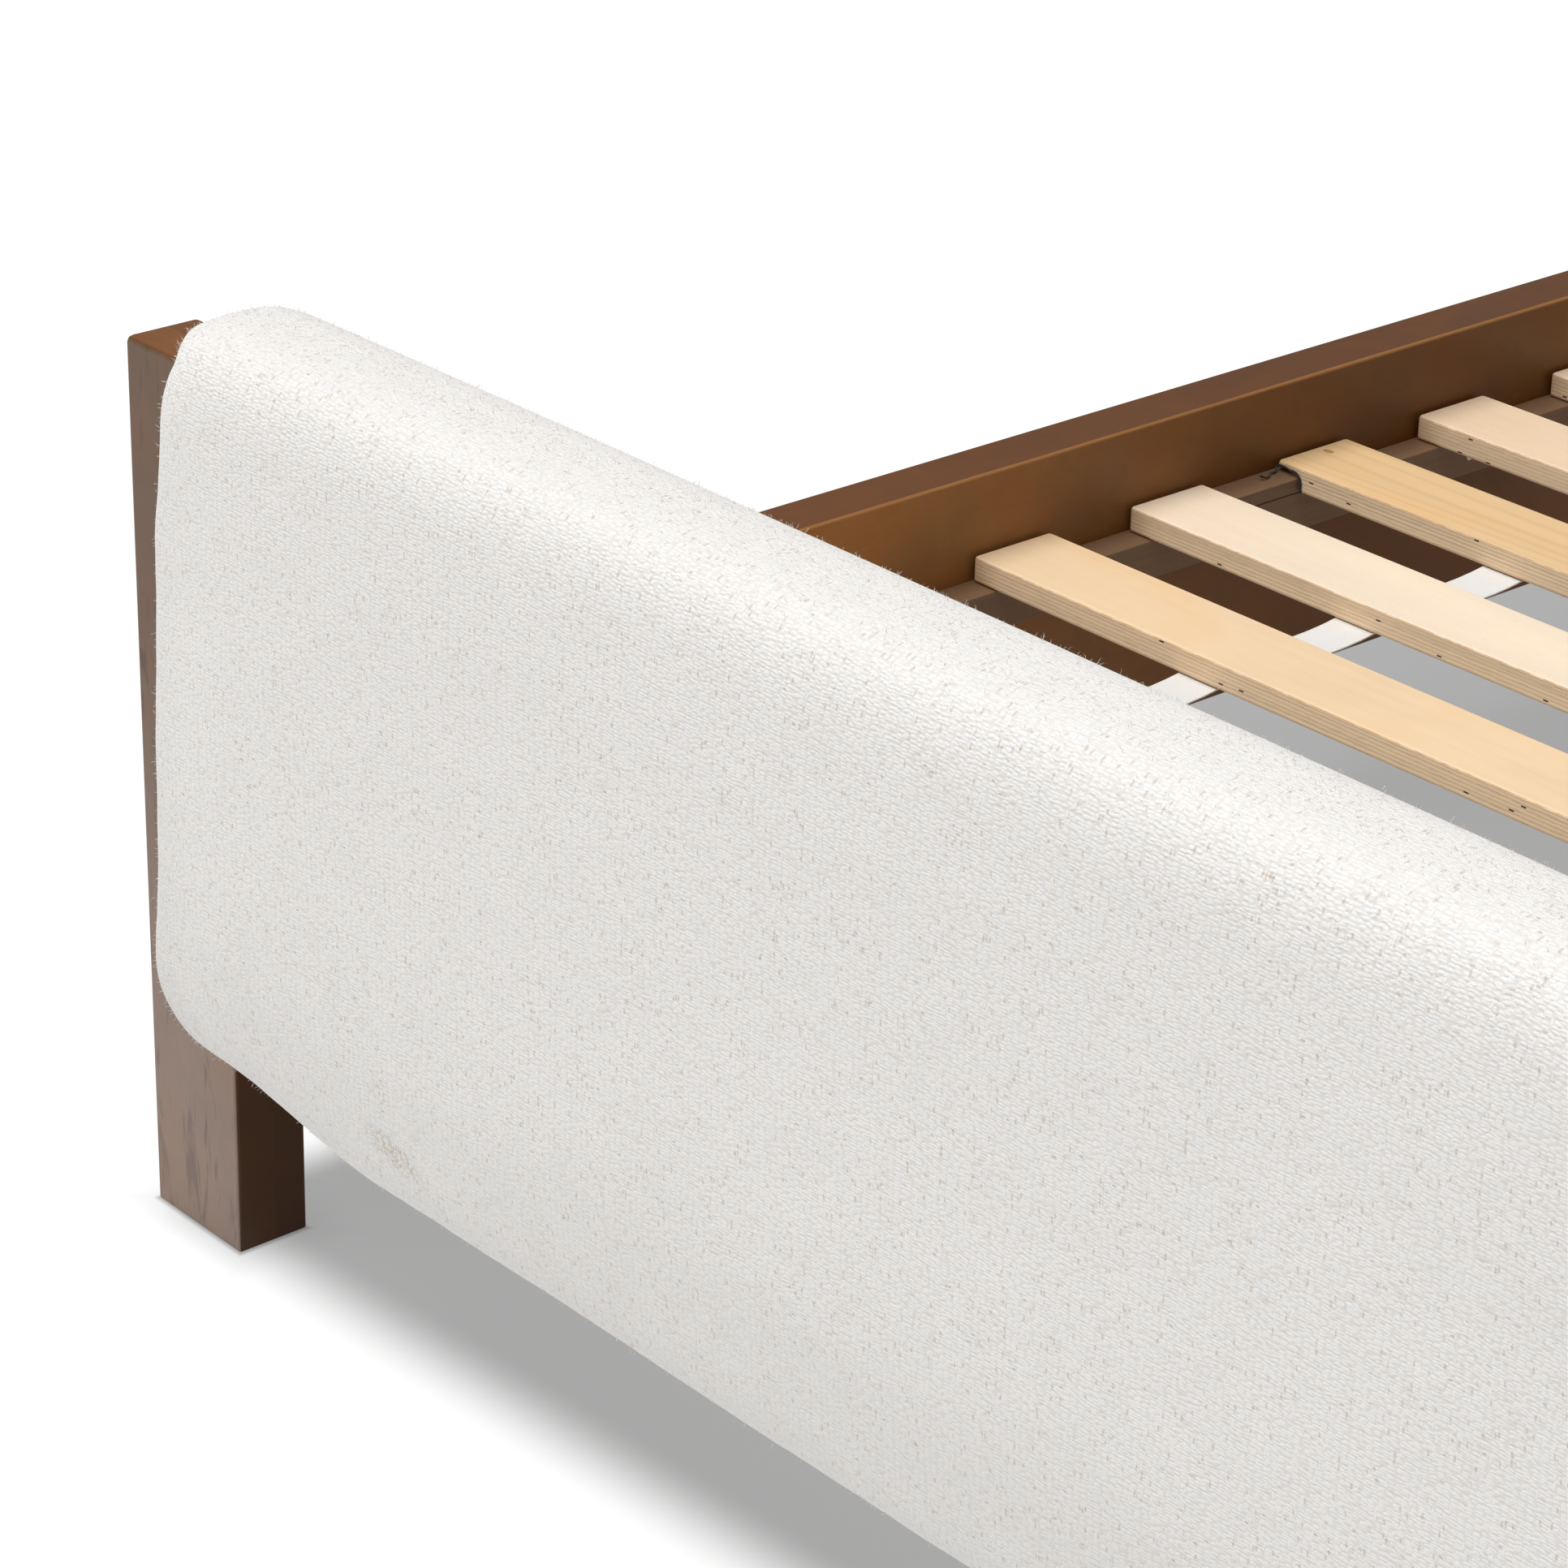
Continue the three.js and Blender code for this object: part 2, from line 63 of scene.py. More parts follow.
def place_camera():
    """A long lens that looks down on the foot end's left corner from the right."""
    ahead = Vector((math.sin(YAW) * math.cos(PITCH), math.cos(YAW) * math.cos(PITCH), -math.sin(PITCH)))
    level = Vector((math.cos(YAW), -math.sin(YAW), 0))
    upright = level.cross(ahead)
    right = math.cos(ROLL) * level + math.sin(ROLL) * upright
    up = math.cos(ROLL) * upright - math.sin(ROLL) * level
    lens = bpy.data.cameras.new("studio_camera")
    lens.lens = LENS
    lens.sensor_width = 36
    lens.clip_start = 0.05
    lens.clip_end = 100
    camera = bpy.data.objects.new("studio_camera", lens)
    scene.collection.objects.link(camera)
    camera.matrix_world = Matrix.Translation(EYE) @ Matrix((right, up, -ahead)).transposed().to_4x4()
    scene.camera = camera


place_camera()


# ---- Loose thread ----
# The same route as the CAD's tube, inward from the slat's tip, back from its front, up from the block.
THREAD_RADIUS = 0.7 * MM
THREAD_START = Vector((-767, -147.5, 279.3)) * MM
THREAD_ROUTE = [
    (8.5, -24, 1.6), (9.8, -20.5, 0.4), (8.2, -16.5, 0.4), (5.6, -12.5, 0.4), (5.8, -9, 0.4),
    (4.6, -6, 0.9), (3, -3.4, 1.9), (2.6, -1.9, 3.2), (4.8, -1.5, 3.7), (8, -1.4, 3.5),
    (11.5, -1.4, 3.1), (14.8, -1.4, 2.4), (18, -1.4, 1.6), (21, -1.4, 1), (23.4, -1.4, -0.4),
    (24.2, -1.4, -3.8), (24.4, -1.4, -7.6),
]


def smooth_route(points, steps):
    """Points along a smooth curve that passes through all of the given ones."""
    ends = [2 * points[0] - points[1], *points, 2 * points[-1] - points[-2]]
    route = []
    for index in range(1, len(ends) - 2):
        before, start, end, after = ends[index - 1:index + 3]
        for step in range(steps):
            t = step / steps
            route.append(0.5 * (
                2 * start + (end - before) * t + (2 * before - 5 * start + 4 * end - after) * t ** 2
                + (3 * start - before - 3 * end + after) * t ** 3))
    return route + [points[-1]]


def round_line(name, points, radius, sides=2):
    """A curve object with a round section that follows the points."""
    line = bpy.data.curves.new(name, "CURVE")
    line.dimensions = "3D"
    line.bevel_depth = radius
    line.bevel_resolution = sides
    line.use_fill_caps = True
    spline = line.splines.new("POLY")
    spline.points.add(len(points) - 1)
    for point, where in zip(spline.points, points):
        point.co = (*where, 1)
    spline.use_smooth = True
    piece = bpy.data.objects.new(name, line)
    scene.collection.objects.link(piece)
    return piece


thread_points = smooth_route([THREAD_START + Vector(step) * MM for step in reversed(THREAD_ROUTE)], 5)
thread = round_line("loose_black_thread", thread_points, THREAD_RADIUS)


# ---- Hand tools ----
def alone(piece):
    """Selects one piece and makes it active."""
    bpy.ops.object.select_all(action="DESELECT")
    piece.select_set(True)
    bpy.context.view_layer.objects.active = piece


def pick(piece, kind, wanted):
    """In edit mode, selects the vertices, edges or faces whose middle passes the test."""
    alone(piece)
    bpy.ops.object.mode_set(mode="EDIT")
    bpy.ops.mesh.select_mode(type=kind)
    bpy.ops.mesh.select_all(action="DESELECT")
    mesh = bmesh.from_edit_mesh(piece.data)
    found = 0
    for part in {"VERT": mesh.verts, "EDGE": mesh.edges, "FACE": mesh.faces}[kind]:
        if kind == "EDGE":
            one, other = (v.co for v in part.verts)
            chosen = wanted((one + other) / 2, (other - one).normalized())
        elif kind == "FACE":
            chosen = wanted(part.calc_center_median(), part.normal)
        else:
            chosen = wanted(part.co, part.normal)
        if chosen:
            part.select_set(True)
            found += 1
    mesh.select_flush_mode()
    bmesh.update_edit_mesh(piece.data)
    return found


def leave_edit():
    bpy.ops.object.mode_set(mode="OBJECT")


def modify(piece, kind, **settings):
    """Adds a modifier with its settings and applies it."""
    alone(piece)
    modifier = piece.modifiers.new(kind.lower(), kind)
    for key, value in settings.items():
        setattr(modifier, key, value)
    bpy.ops.object.modifier_apply(modifier=modifier.name)


def name_piece(name):
    piece = bpy.context.object
    piece.name = name
    piece.data.name = name
    bpy.ops.object.transform_apply(location=True, rotation=True, scale=True)
    return piece


def cube(name, low, high):
    low, high = Vector(low), Vector(high)
    bpy.ops.mesh.primitive_cube_add(size=1, location=(low + high) / 2)
    bpy.context.object.scale = high - low
    return name_piece(name)


TURNS = {"X": (0, math.pi / 2, 0), "Y": (math.pi / 2, 0, 0), "Z": (0, 0, 0)}


def cylinder(name, middle, radius, length, axis, sides=32):
    bpy.ops.mesh.primitive_cylinder_add(
        vertices=sides, radius=radius, depth=length, location=middle, rotation=TURNS[axis])
    return name_piece(name)


def smooth(piece, angle=35):
    """Smooth shading with crisp flats."""
    alone(piece)
    bpy.ops.object.shade_smooth_by_angle(angle=math.radians(angle))
    modify(piece, "WEIGHTED_NORMAL", keep_sharp=True, weight=100)


def board(name, low, high, ease, steps=3):
    """A planed board with all its edges eased."""
    piece = cube(name, low, high)
    pick(piece, "EDGE", lambda middle, run: True)
    bpy.ops.mesh.bevel(offset=ease, segments=steps, profile=0.5)
    leave_edit()
    return piece


def ease_edges(piece, most, width_of, steps):
    """Bevels every edge by a width of its own, all at once, so that unlike edges still meet at the corners."""
    weights = piece.data.attributes.new("bevel_weight_edge", "FLOAT", "EDGE")
    for edge in piece.data.edges:
        one, other = (piece.data.vertices[index].co for index in edge.vertices)
        weights.data[edge.index].value = width_of((one + other) / 2, (other - one).normalized()) / most
    modify(piece, "BEVEL", width=most, segments=steps, limit_method="WEIGHT")


def cut(piece, *cutters):
    """Takes the cutters' shapes out of a piece."""
    for cutter in cutters:
        modify(piece, "BOOLEAN", operation="DIFFERENCE", object=cutter, solver="EXACT")
        bpy.data.objects.remove(cutter)


def coordinates(mesh):
    points = np.zeros(len(mesh.vertices) * 3)
    mesh.vertices.foreach_get("co", points)
    return points.reshape(-1, 3)


def outward_ways(mesh):
    normals = np.zeros(len(mesh.vertices) * 3)
    mesh.vertices.foreach_get("normal", normals)
    return normals.reshape(-1, 3)


def set_coordinates(mesh, points):
    mesh.vertices.foreach_set("co", points.ravel())
    mesh.update()


def refined(node, ease, steps=2):
    """A copy of a CAD node with its flats made whole and its edges eased."""
    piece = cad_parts[node].copy()
    piece.data = piece.data.copy()
    scene.collection.objects.link(piece)
    piece.name = f"{node}_finished"
    piece.data.name = piece.name
    alone(piece)
    bpy.ops.object.mode_set(mode="EDIT")
    bpy.ops.mesh.select_all(action="SELECT")
    bpy.ops.mesh.remove_doubles(threshold=0.01 * MM)
    bpy.ops.mesh.dissolve_limited(angle_limit=math.radians(1))
    leave_edit()
    modify(piece, "BEVEL", width=ease, segments=steps, limit_method="ANGLE", angle_limit=math.radians(50))
    smooth(piece, 32)
    return piece


def join(name, pieces):
    bpy.ops.object.select_all(action="DESELECT")
    for piece in pieces:
        piece.select_set(True)
    bpy.context.view_layer.objects.active = pieces[0]
    if len(pieces) > 1:
        bpy.ops.object.join()
    pieces[0].name = name
    pieces[0].data.name = name
    return pieces[0]


def copies(name, pattern, places):
    """One piece made of copies of a pattern, each moved by its own matrix. The pattern is used up."""
    made = []
    for place in places:
        alone(pattern)
        bpy.ops.object.duplicate(linked=False)
        copy = bpy.context.object
        copy.data.transform(place)
        made.append(copy)
    bpy.data.objects.remove(pattern)
    return join(name, made)


def hand_in(piece, finish, slot, *nodes, body=BED):
    """Gives a finished piece its finish and its body, and hides the CAD nodes that it stands for."""
    piece.data.materials.clear()
    piece.data.materials.append(finish)
    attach(piece, body)
    if nodes:
        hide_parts(*nodes)
    return piece


# ---- Finishes ----
class Wire:
    """One output of a node. Sums on it add Math nodes."""

    def __init__(self, finish, socket):
        self.finish = finish
        self.socket = socket

    def __getitem__(self, name):
        return Wire(self.finish, self.socket.node.outputs[name])

    def sum(self, operation, first, second):
        return self.finish.node("ShaderNodeMath", {"operation": operation}, {0: first, 1: second})

    def __add__(self, other):
        return self.sum("ADD", self, other)

    def __radd__(self, other):
        return self.sum("ADD", other, self)

    def __sub__(self, other):
        return self.sum("SUBTRACT", self, other)

    def __rsub__(self, other):
        return self.sum("SUBTRACT", other, self)

    def __mul__(self, other):
        return self.sum("MULTIPLY", self, other)

    def __rmul__(self, other):
        return self.sum("MULTIPLY", other, self)

    def __truediv__(self, other):
        return self.sum("DIVIDE", self, other)

    def __pow__(self, other):
        return self.sum("POWER", self, other)


def tint(red, green, blue):
    """A colour given as screen values from 0 to 255, in the linear values that a shader takes."""
    linear = []
    for value in (red, green, blue):
        value /= 255
        linear.append(value / 12.92 if value <= 0.04045 else ((value + 0.055) / 1.055) ** 2.4)
    return (*linear, 1)


class Finish:
    """A node material for one of the bed's finishes."""

    def __init__(self, name, **constants):
        self.material = bpy.data.materials.new(name)
        self.material.use_nodes = True
        self.tree = self.material.node_tree
        self.tree.nodes.clear()
        self.shader = self.tree.nodes.new("ShaderNodeBsdfPrincipled")
        output = self.tree.nodes.new("ShaderNodeOutputMaterial")
        self.tree.links.new(self.shader.outputs["BSDF"], output.inputs["Surface"])
        for socket, value in constants.items():
            self.shader.inputs[socket.replace("_", " ")].default_value = value

    def node(self, kind, settings=None, sockets=None, result=0):
        """Adds a node: its settings first, then the values or links of its sockets."""
        node = self.tree.nodes.new(kind)
        for key, value in (settings or {}).items():
            if key == "stops":
                self.stops(node.color_ramp, value)
            else:
                setattr(node, key, value)
        for key, value in (sockets or {}).items():
            self.feed(node.inputs[key], value)
        return Wire(self, node.outputs[result])

    def stops(self, ramp, stops):
        while len(ramp.elements) < len(stops):
            ramp.elements.new(0.5)
        for element, (position, colour) in zip(ramp.elements, stops):
            element.position = position
            element.color = colour

    def feed(self, socket, value):
        if isinstance(value, Wire):
            self.tree.links.new(value.socket, socket)
        elif socket.type == "VECTOR" and len(value) == 4:
            socket.default_value = value[:3]
        else:
            socket.default_value = value

    def surface(self, **wires):
        """Links what varies over the surface to the shader."""
        for socket, wire in wires.items():
            self.feed(self.shader.inputs[socket.replace("_", " ")], wire)
        return self.material

    # What the finishes are made of
    def place(self):
        return self.node("ShaderNodeTexCoord")["Object"]

    def axes(self, place):
        parts = self.node("ShaderNodeSeparateXYZ", {}, {0: place})
        return parts["X"], parts["Y"], parts["Z"]

    def point(self, x, y, z=0.0):
        return self.node("ShaderNodeCombineXYZ", {}, {0: x, 1: y, 2: z})

    def stretched(self, place, scale, shift=(0, 0, 0)):
        return self.node("ShaderNodeMapping", {}, {"Vector": place, "Scale": scale, "Location": shift})

    def cloud(self, place, scale=1.0, detail=3.0, rough=0.55, warp=0.0):
        return self.node("ShaderNodeTexNoise", {}, {
            "Vector": place, "Scale": scale, "Detail": detail, "Roughness": rough, "Distortion": warp})

    def cells(self, place, random=1.0, dimensions="2D"):
        return self.node(
            "ShaderNodeTexVoronoi", {"voronoi_dimensions": dimensions},
            {"Vector": place, "Scale": 1.0, "Randomness": random})

    def ramp(self, value, low, high):
        """0 below low, 1 above high, and smooth between; low may be the larger."""
        return self.node(
            "ShaderNodeMapRange", {"interpolation_type": "SMOOTHSTEP"},
            {"Value": value, "From Min": low, "From Max": high})

    def whole(self, value):
        return self.node("ShaderNodeMath", {"operation": "FLOOR"}, {0: value})

    def size(self, value):
        return self.node("ShaderNodeMath", {"operation": "ABSOLUTE"}, {0: value})

    def mix(self, share, first, second, blend="MIX"):
        return self.node(
            "ShaderNodeMix", {"data_type": "RGBA", "blend_type": blend, "clamp_factor": True},
            {0: share, 6: first, 7: second}, result=2)

    def dim(self, colour, amount):
        """A colour made lighter or darker by a number."""
        return self.node("ShaderNodeVectorMath", {"operation": "SCALE"}, {0: colour, "Scale": amount})

    def relief(self, height, strength, distance):
        return self.node("ShaderNodeBump", {}, {"Strength": strength, "Distance": distance, "Height": height})


AXIS = {"X": 0, "Y": 1, "Z": 2}


def grain_scale(along, length, across):
    """Noise scale for wood: long along the grain and fine across it."""
    scale = [across] * 3
    scale[AXIS[along]] = length
    return tuple(scale)


def walnut_stain(name, along, top, inner_shaded, outer, front, glue_lines=(), arris=None):
    """Satin walnut stain on a close-grained wood: soft clouds, faint grain, wiped marks and glued-up strips.

    The inner faces' colours, at the bed's ends and at its middle, are painted shade, on the rails darker towards the
    middle; the front faces' colours, low down and higher up, carry a painted sheen that is lighter low down.
    """
    f = Finish(name, IOR=1.5, Coat_Roughness=0.26, Specular_IOR_Level=0.22)
    place = f.place()
    x, y, z = f.axes(place)
    shift = 0.0
    strip_tone = 1.0
    seam = 0.0
    for line, step in glue_lines:
        behind = f.ramp(y, line - 0.05 * MM, line + 0.05 * MM)
        shift = behind * 3.7 + shift
        strip_tone = behind * step + strip_tone
        seam = f.ramp(f.size(y - line), 0.45 * MM, 0.1 * MM) + seam
    if glue_lines:
        place = f.node("ShaderNodeVectorMath", {"operation": "ADD"}, {0: place, 1: f.point(shift, shift, shift)})
    figure = f.cloud(f.stretched(place, grain_scale(along, 1.6, 22)), 1, 4, 0.6, 0.8)
    streaks = f.cloud(f.stretched(place, grain_scale(along, 6, 130)), 1, 4, 0.65, 0.4)
    fibres = f.cloud(f.stretched(place, grain_scale(along, 40, 900)), 1, 2, 0.6)
    clouds = f.cloud(place, 17, 4, 0.6, 0.4)
    mottle = f.cloud(f.stretched(place, (1, 1, 1), (3.1, 1.7, 2.3)), 34, 4, 0.62, 0.3)
    marks = f.ramp(f.cloud(f.stretched(place, grain_scale(along, 13, 75)), 1, 3, 0.65, 0.9), 0.53, 0.66)
    pores = f.ramp(f.cloud(f.stretched(place, grain_scale(along, 70, 1300)), 1, 1, 0.5), 0.64, 0.74)

    # Which way a face looks decides its colour: the inner faces carry painted shade, on the rails darker towards the
    # bed's middle, and the front faces a painted sheen
    nx, ny, nz = f.axes(f.node("ShaderNodeNewGeometry")["Normal"])
    upward = f.ramp(nz, 0.55, 0.9)
    endways = f.ramp(f.size(ny), 0.55, 0.9)
    outside = f.ramp((2.0 * f.ramp(x, -0.2, 0.2) - 1.0) * nx, 0.3, 0.8)
    # Painted shade: the inner faces are dark, and on the rails darker towards the bed's middle
    colour = f.mix(f.ramp(f.size(y), 0.02, 0.80), tint(*inner_shaded[1]), tint(*inner_shaded[0]))
    colour = f.mix(outside, colour, tint(*outer))
    # Painted sheen: the front faces are greyer, and lighter low down, where they reflect the lit floor
    colour = f.mix(endways, colour, f.mix(f.ramp(z, 0.14, 0.44), tint(*front[0]), tint(*front[1])))
    tone = (
        1.0 + 0.5 * (strip_tone - 1.0) + 0.16 * (figure - 0.5) + 0.12 * (streaks - 0.5) + 0.08 * (fibres - 0.5)
        + 0.40 * (clouds - 0.5) + 0.26 * (mottle - 0.5) - 0.06 * pores)
    colour = f.dim(colour, tone)
    red = f.ramp(clouds, 0.46, 0.64) * 0.6
    colour = f.mix(red, colour, f.mix(1.0, colour, tint(255, 238, 226), "MULTIPLY"))
    colour = f.mix(marks * endways * 0.8, colour, f.dim(colour, 0.60))

    # The tops: end grain on the posts, planed edges on the rails
    # Painted shade: the tops grow darker towards the bed's middle, where the light falls off
    top_tone = strip_tone + 0.50 * (clouds - 0.5) + 0.14 * (streaks - 0.5) - 0.16 * f.ramp(f.size(y), 0.7, 0.1)
    if glue_lines:
        top_tone = top_tone + 0.42 * (f.cloud(f.stretched(place, (12, 170, 170)), 1, 4, 0.62, 0.6) - 0.5)
    colour = f.mix(upward, colour, f.dim(tint(*top), top_tone))
    if glue_lines:
        colour = f.mix(f.ramp(seam, 0, 1) * 0.22 * (0.3 + 0.7 * upward), colour, tint(52, 31, 18))
    # A painted highlight along the rails' top inner arris, where the eased edge catches the light
    if arris:
        across, height = arris
        reach = f.size(f.size(x) - across) + f.size(z - height)
        arris_highlight = f.ramp(reach + 1.4 * MM * (streaks - 0.5), 2.6 * MM, 1.1 * MM)
        colour = f.mix(arris_highlight * 0.6, colour, tint(176, 124, 72))
    rough = 0.42 + 0.12 * (streaks - 0.5) + 0.16 * (clouds - 0.5) + 0.06 * pores
    height = 0.5 * streaks + 0.5 * fibres - 0.8 * pores
    return f.surface(
        Base_Color=colour, Roughness=rough, Coat_Weight=0.04 + 0.14 * endways + 0.05 * upward,
        Normal=f.relief(height, 0.10, 0.25 * MM))


def ledge_stain():
    """Thin greyish stain on a sawn strip, with scuffs and dust."""
    f = Finish("ledge_stain", IOR=1.5, Specular_IOR_Level=0.4)
    place = f.place()
    figure = f.cloud(f.stretched(place, grain_scale("Y", 2.2, 60)), 1, 4, 0.6, 0.7)
    streaks = f.cloud(f.stretched(place, grain_scale("Y", 9, 320)), 1, 4, 0.65)
    scuffs = f.ramp(f.cloud(f.stretched(place, (260, 60, 260)), 1, 5, 0.75), 0.62, 0.78)
    dust = f.ramp(f.cloud(place, 900, 2, 0.5), 0.66, 0.74)
    tone = 1.0 + 0.40 * (figure - 0.5) + 0.40 * (streaks - 0.5)
    colour = f.dim(tint(119, 90, 64), tone)
    colour = f.mix(scuffs * 0.35, colour, tint(158, 132, 108))
    colour = f.mix(dust * 0.3, colour, tint(170, 150, 128))
    return f.surface(
        Base_Color=colour, Roughness=0.62 + 0.2 * (streaks - 0.5),
        Normal=f.relief(streaks + 0.4 * scuffs, 0.25, 0.3 * MM))


SLAT_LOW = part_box("slat_01")[0]
SLAT_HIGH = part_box("slat_01")[1]
SLAT_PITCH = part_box("slat_02")[0].y - SLAT_LOW.y
SLAT_COUNT = 13
NOTCHED = 6
PLY = 1.4 * MM

# Face veneers from the foot to the head
VENEERS = [
    (233, 205, 168), (236, 210, 178), (236, 206, 166), (238, 208, 169), (243, 223, 197),
    (228, 192, 143), (234, 207, 175), (236, 212, 184), (231, 200, 160), (235, 208, 172),
    (229, 197, 154), (236, 211, 180), (232, 203, 165),
]


def birch_plywood(knot):
    """Thirteen plies under a clear satin coat: a veneer on each face, glue lines and small voids between, the voids
    painted dark as shade.
    """
    f = Finish("birch_plywood", IOR=1.5, Specular_IOR_Level=0.5, Coat_Weight=0.12, Coat_Roughness=0.3)
    place = f.place()
    x, y, z = f.axes(place)
    number = f.whole((y - (SLAT_LOW.y - 0.03)) / SLAT_PITCH)
    own = f.node("ShaderNodeTexWhiteNoise", {"noise_dimensions": "1D"}, {"W": number})
    apart = f.point(number * 1.7, number * 0.6, number * 0.9)
    spot = f.node("ShaderNodeVectorMath", {"operation": "ADD"}, {0: place, 1: apart})
    stops = [((index + 0.5) / SLAT_COUNT - 0.5 / SLAT_COUNT, tint(*c)) for index, c in enumerate(VENEERS)]
    veneer = f.node(
        "ShaderNodeValToRGB", {"stops": stops},
        {0: (number + 0.5) / SLAT_COUNT})
    veneer.socket.node.color_ramp.interpolation = "CONSTANT"

    # The face veneer: soft cathedral figure, fine fibres, a few flecks
    figure = f.cloud(f.stretched(spot, (2.4, 22, 8)), 1, 3, 0.5, 1.1)
    rings = f.node(
        "ShaderNodeTexWave", {"wave_type": "BANDS", "bands_direction": "Y", "wave_profile": "SIN"},
        {"Vector": f.stretched(spot, (0.55, 10, 4)), "Scale": 2.2, "Distortion": 9.0, "Detail": 2.0,
         "Detail Scale": 1.1, "Detail Roughness": 0.5})
    fibres = f.cloud(f.stretched(spot, (30, 620, 620)), 1, 3, 0.6)
    flecks = f.ramp(f.cloud(f.stretched(spot, (110, 900, 900)), 1, 1, 0.5), 0.70, 0.80)
    clouds = f.cloud(f.stretched(spot, (5, 11, 5)), 1, 2, 0.5, 0.4)
    ring_share = 0.10 + 0.15 * own + f.ramp(f.size(number - (NOTCHED - 1.0)), 0.6, 0.4)
    tone = (
        1.0 + 0.15 * (figure - 0.5) + 0.08 * (fibres - 0.5) + 0.16 * (clouds - 0.5)
        - 0.06 * ring_share * f.ramp(rings, 0.55, 0.95))
    face = f.dim(veneer, tone)
    face = f.mix(f.ramp(clouds, 0.5, 0.75) * 0.35, face, f.mix(1.0, face, tint(250, 226, 190), "MULTIPLY"))
    face = f.mix(flecks * 0.25, face, tint(168, 118, 72))

    # The edge: the plies seen in turn from the side and from the end, with glue between
    depth = SLAT_HIGH.z - z + 0.16 * MM * (f.cloud(f.stretched(spot, (26, 60, 60)), 1, 2, 0.5) - 0.5)
    layer = depth / PLY
    ply = f.whole(layer)
    inside = layer - ply
    crossed = f.size(ply - 2 * f.whole(ply / 2))
    lines = f.ramp(f.size(inside - 0.5), 0.36, 0.49)
    ply_random = f.node(
        "ShaderNodeTexWhiteNoise", {"noise_dimensions": "2D"}, {"Vector": f.point(ply, number)})
    long_fibres = f.cloud(f.stretched(spot, (24, 500, 1500)), 1, 3, 0.6)
    end_pores = f.cloud(f.stretched(spot, (700, 700, 1100)), 1, 2, 0.6)
    edge_tone = 1.0 + 0.22 * (long_fibres - 0.5) + 0.14 * (ply_random - 0.5)
    long_ply = f.dim(tint(252, 226, 189), edge_tone)
    cross_ply = f.dim(tint(238, 205, 165), edge_tone - 0.30 * (end_pores - 0.5))
    edge = f.mix(crossed, long_ply, cross_ply)
    broken = f.ramp(f.cloud(f.stretched(spot, (55, 300, 700)), 1, 2, 0.6), 0.50, 0.64)
    edge = f.mix(lines * (0.08 + 0.62 * broken), edge, tint(118, 72, 44))
    at = f.point(f.whole(x / (9 * MM)), ply * 3.0 + number * 41.0)
    chance = f.node("ShaderNodeTexWhiteNoise", {"noise_dimensions": "2D"}, {"Vector": at})
    along = f.size(x / (9 * MM) - f.whole(x / (9 * MM)) - 0.5)
    void = f.ramp(chance, 0.9905, 0.9910) * f.ramp(along, 0.26, 0.20) * f.ramp(f.size(inside - 0.5), 0.42, 0.34)
    void = void * f.ramp(f.size(ply - 6.0), 5.6, 5.4)
    # Painted shade: the voids are dark as holes between the plies
    edge = f.mix(void, edge, tint(48, 28, 20))

    # The veneer reaches one ply down the eased edge, and ends in an orange line
    skin = f.ramp(f.size(SLAT_HIGH.z - SLAT_LOW.z - 2 * depth) - (18.2 - 2.1) * MM, -0.2 * MM, 0.2 * MM)
    rim = f.ramp(f.size(depth - 1.15 * MM), 0.42 * MM, 0.12 * MM) * f.ramp(
        f.cloud(f.stretched(spot, (70, 200, 200)), 1, 3, 0.7), 0.40, 0.55)
    colour = f.mix(skin, edge, face)
    colour = f.mix(rim * 0.55, colour, tint(186, 126, 76))

    # Sawn tips are a little darker
    tip = f.ramp(f.size(x), SLAT_HIGH.x - 1.6 * MM, SLAT_HIGH.x - 0.4 * MM)
    colour = f.mix(tip * 0.35, colour, tint(176, 132, 92))

    # A pin knot near the notched slat's end
    from_knot = f.node("ShaderNodeVectorMath", {"operation": "LENGTH"}, {
        0: f.stretched(place, (0.62, 1, 0), (-0.62 * knot[0], -knot[1], 0))}, result=1)
    grown = from_knot + 1.1 * MM * (f.cloud(place, 420, 2, 0.6) - 0.5)
    colour = f.mix(f.ramp(grown, 3.1 * MM, 2.2 * MM) * 0.75, colour, tint(150, 94, 50))
    colour = f.mix(f.ramp(grown, 1.9 * MM, 1.2 * MM) * 0.6, colour, tint(206, 158, 104))
    height = 0.35 * fibres * skin - 0.6 * lines * (1.0 - skin) - 3.0 * void + 0.3 * end_pores * (1.0 - skin)
    rough = 0.44 + 0.14 * (fibres - 0.5) + 0.18 * (1.0 - skin)
    return f.surface(Base_Color=colour, Roughness=rough, Normal=f.relief(height, 0.22, 0.3 * MM))


def pine(name, along):
    """Planed pine with soft growth rings and small knots."""
    f = Finish(name, IOR=1.5, Specular_IOR_Level=0.4)
    place = f.place()
    rings = f.node(
        "ShaderNodeTexWave", {"wave_type": "RINGS", "rings_direction": along, "wave_profile": "SAW"},
        {"Vector": f.stretched(place, grain_scale(along, 0.5, 7), (0.3, 0.25, 0.4)), "Scale": 5.0,
         "Distortion": 3.0, "Detail": 2.0, "Detail Scale": 1.0})
    fibres = f.cloud(f.stretched(place, grain_scale(along, 18, 520)), 1, 4, 0.6)
    clouds = f.cloud(f.stretched(place, grain_scale(along, 3, 14)), 1, 3, 0.5)
    knots = f.cells(f.stretched(place, grain_scale(along, 5.5, 11)), 1.0, "3D")
    knot = f.ramp(knots, 0.17, 0.09)
    tone = 1.0 + 0.16 * (fibres - 0.5) + 0.22 * (clouds - 0.5)
    colour = f.dim(f.mix(f.ramp(rings, 0.35, 0.95), tint(226, 193, 146), tint(196, 148, 96)), tone)
    colour = f.mix(knot, colour, tint(122, 76, 44))
    return f.surface(
        Base_Color=colour, Roughness=0.55 + 0.2 * (fibres - 0.5),
        Normal=f.relief(fibres + 0.4 * rings, 0.2, 0.3 * MM))


NUB = 2.1 * MM


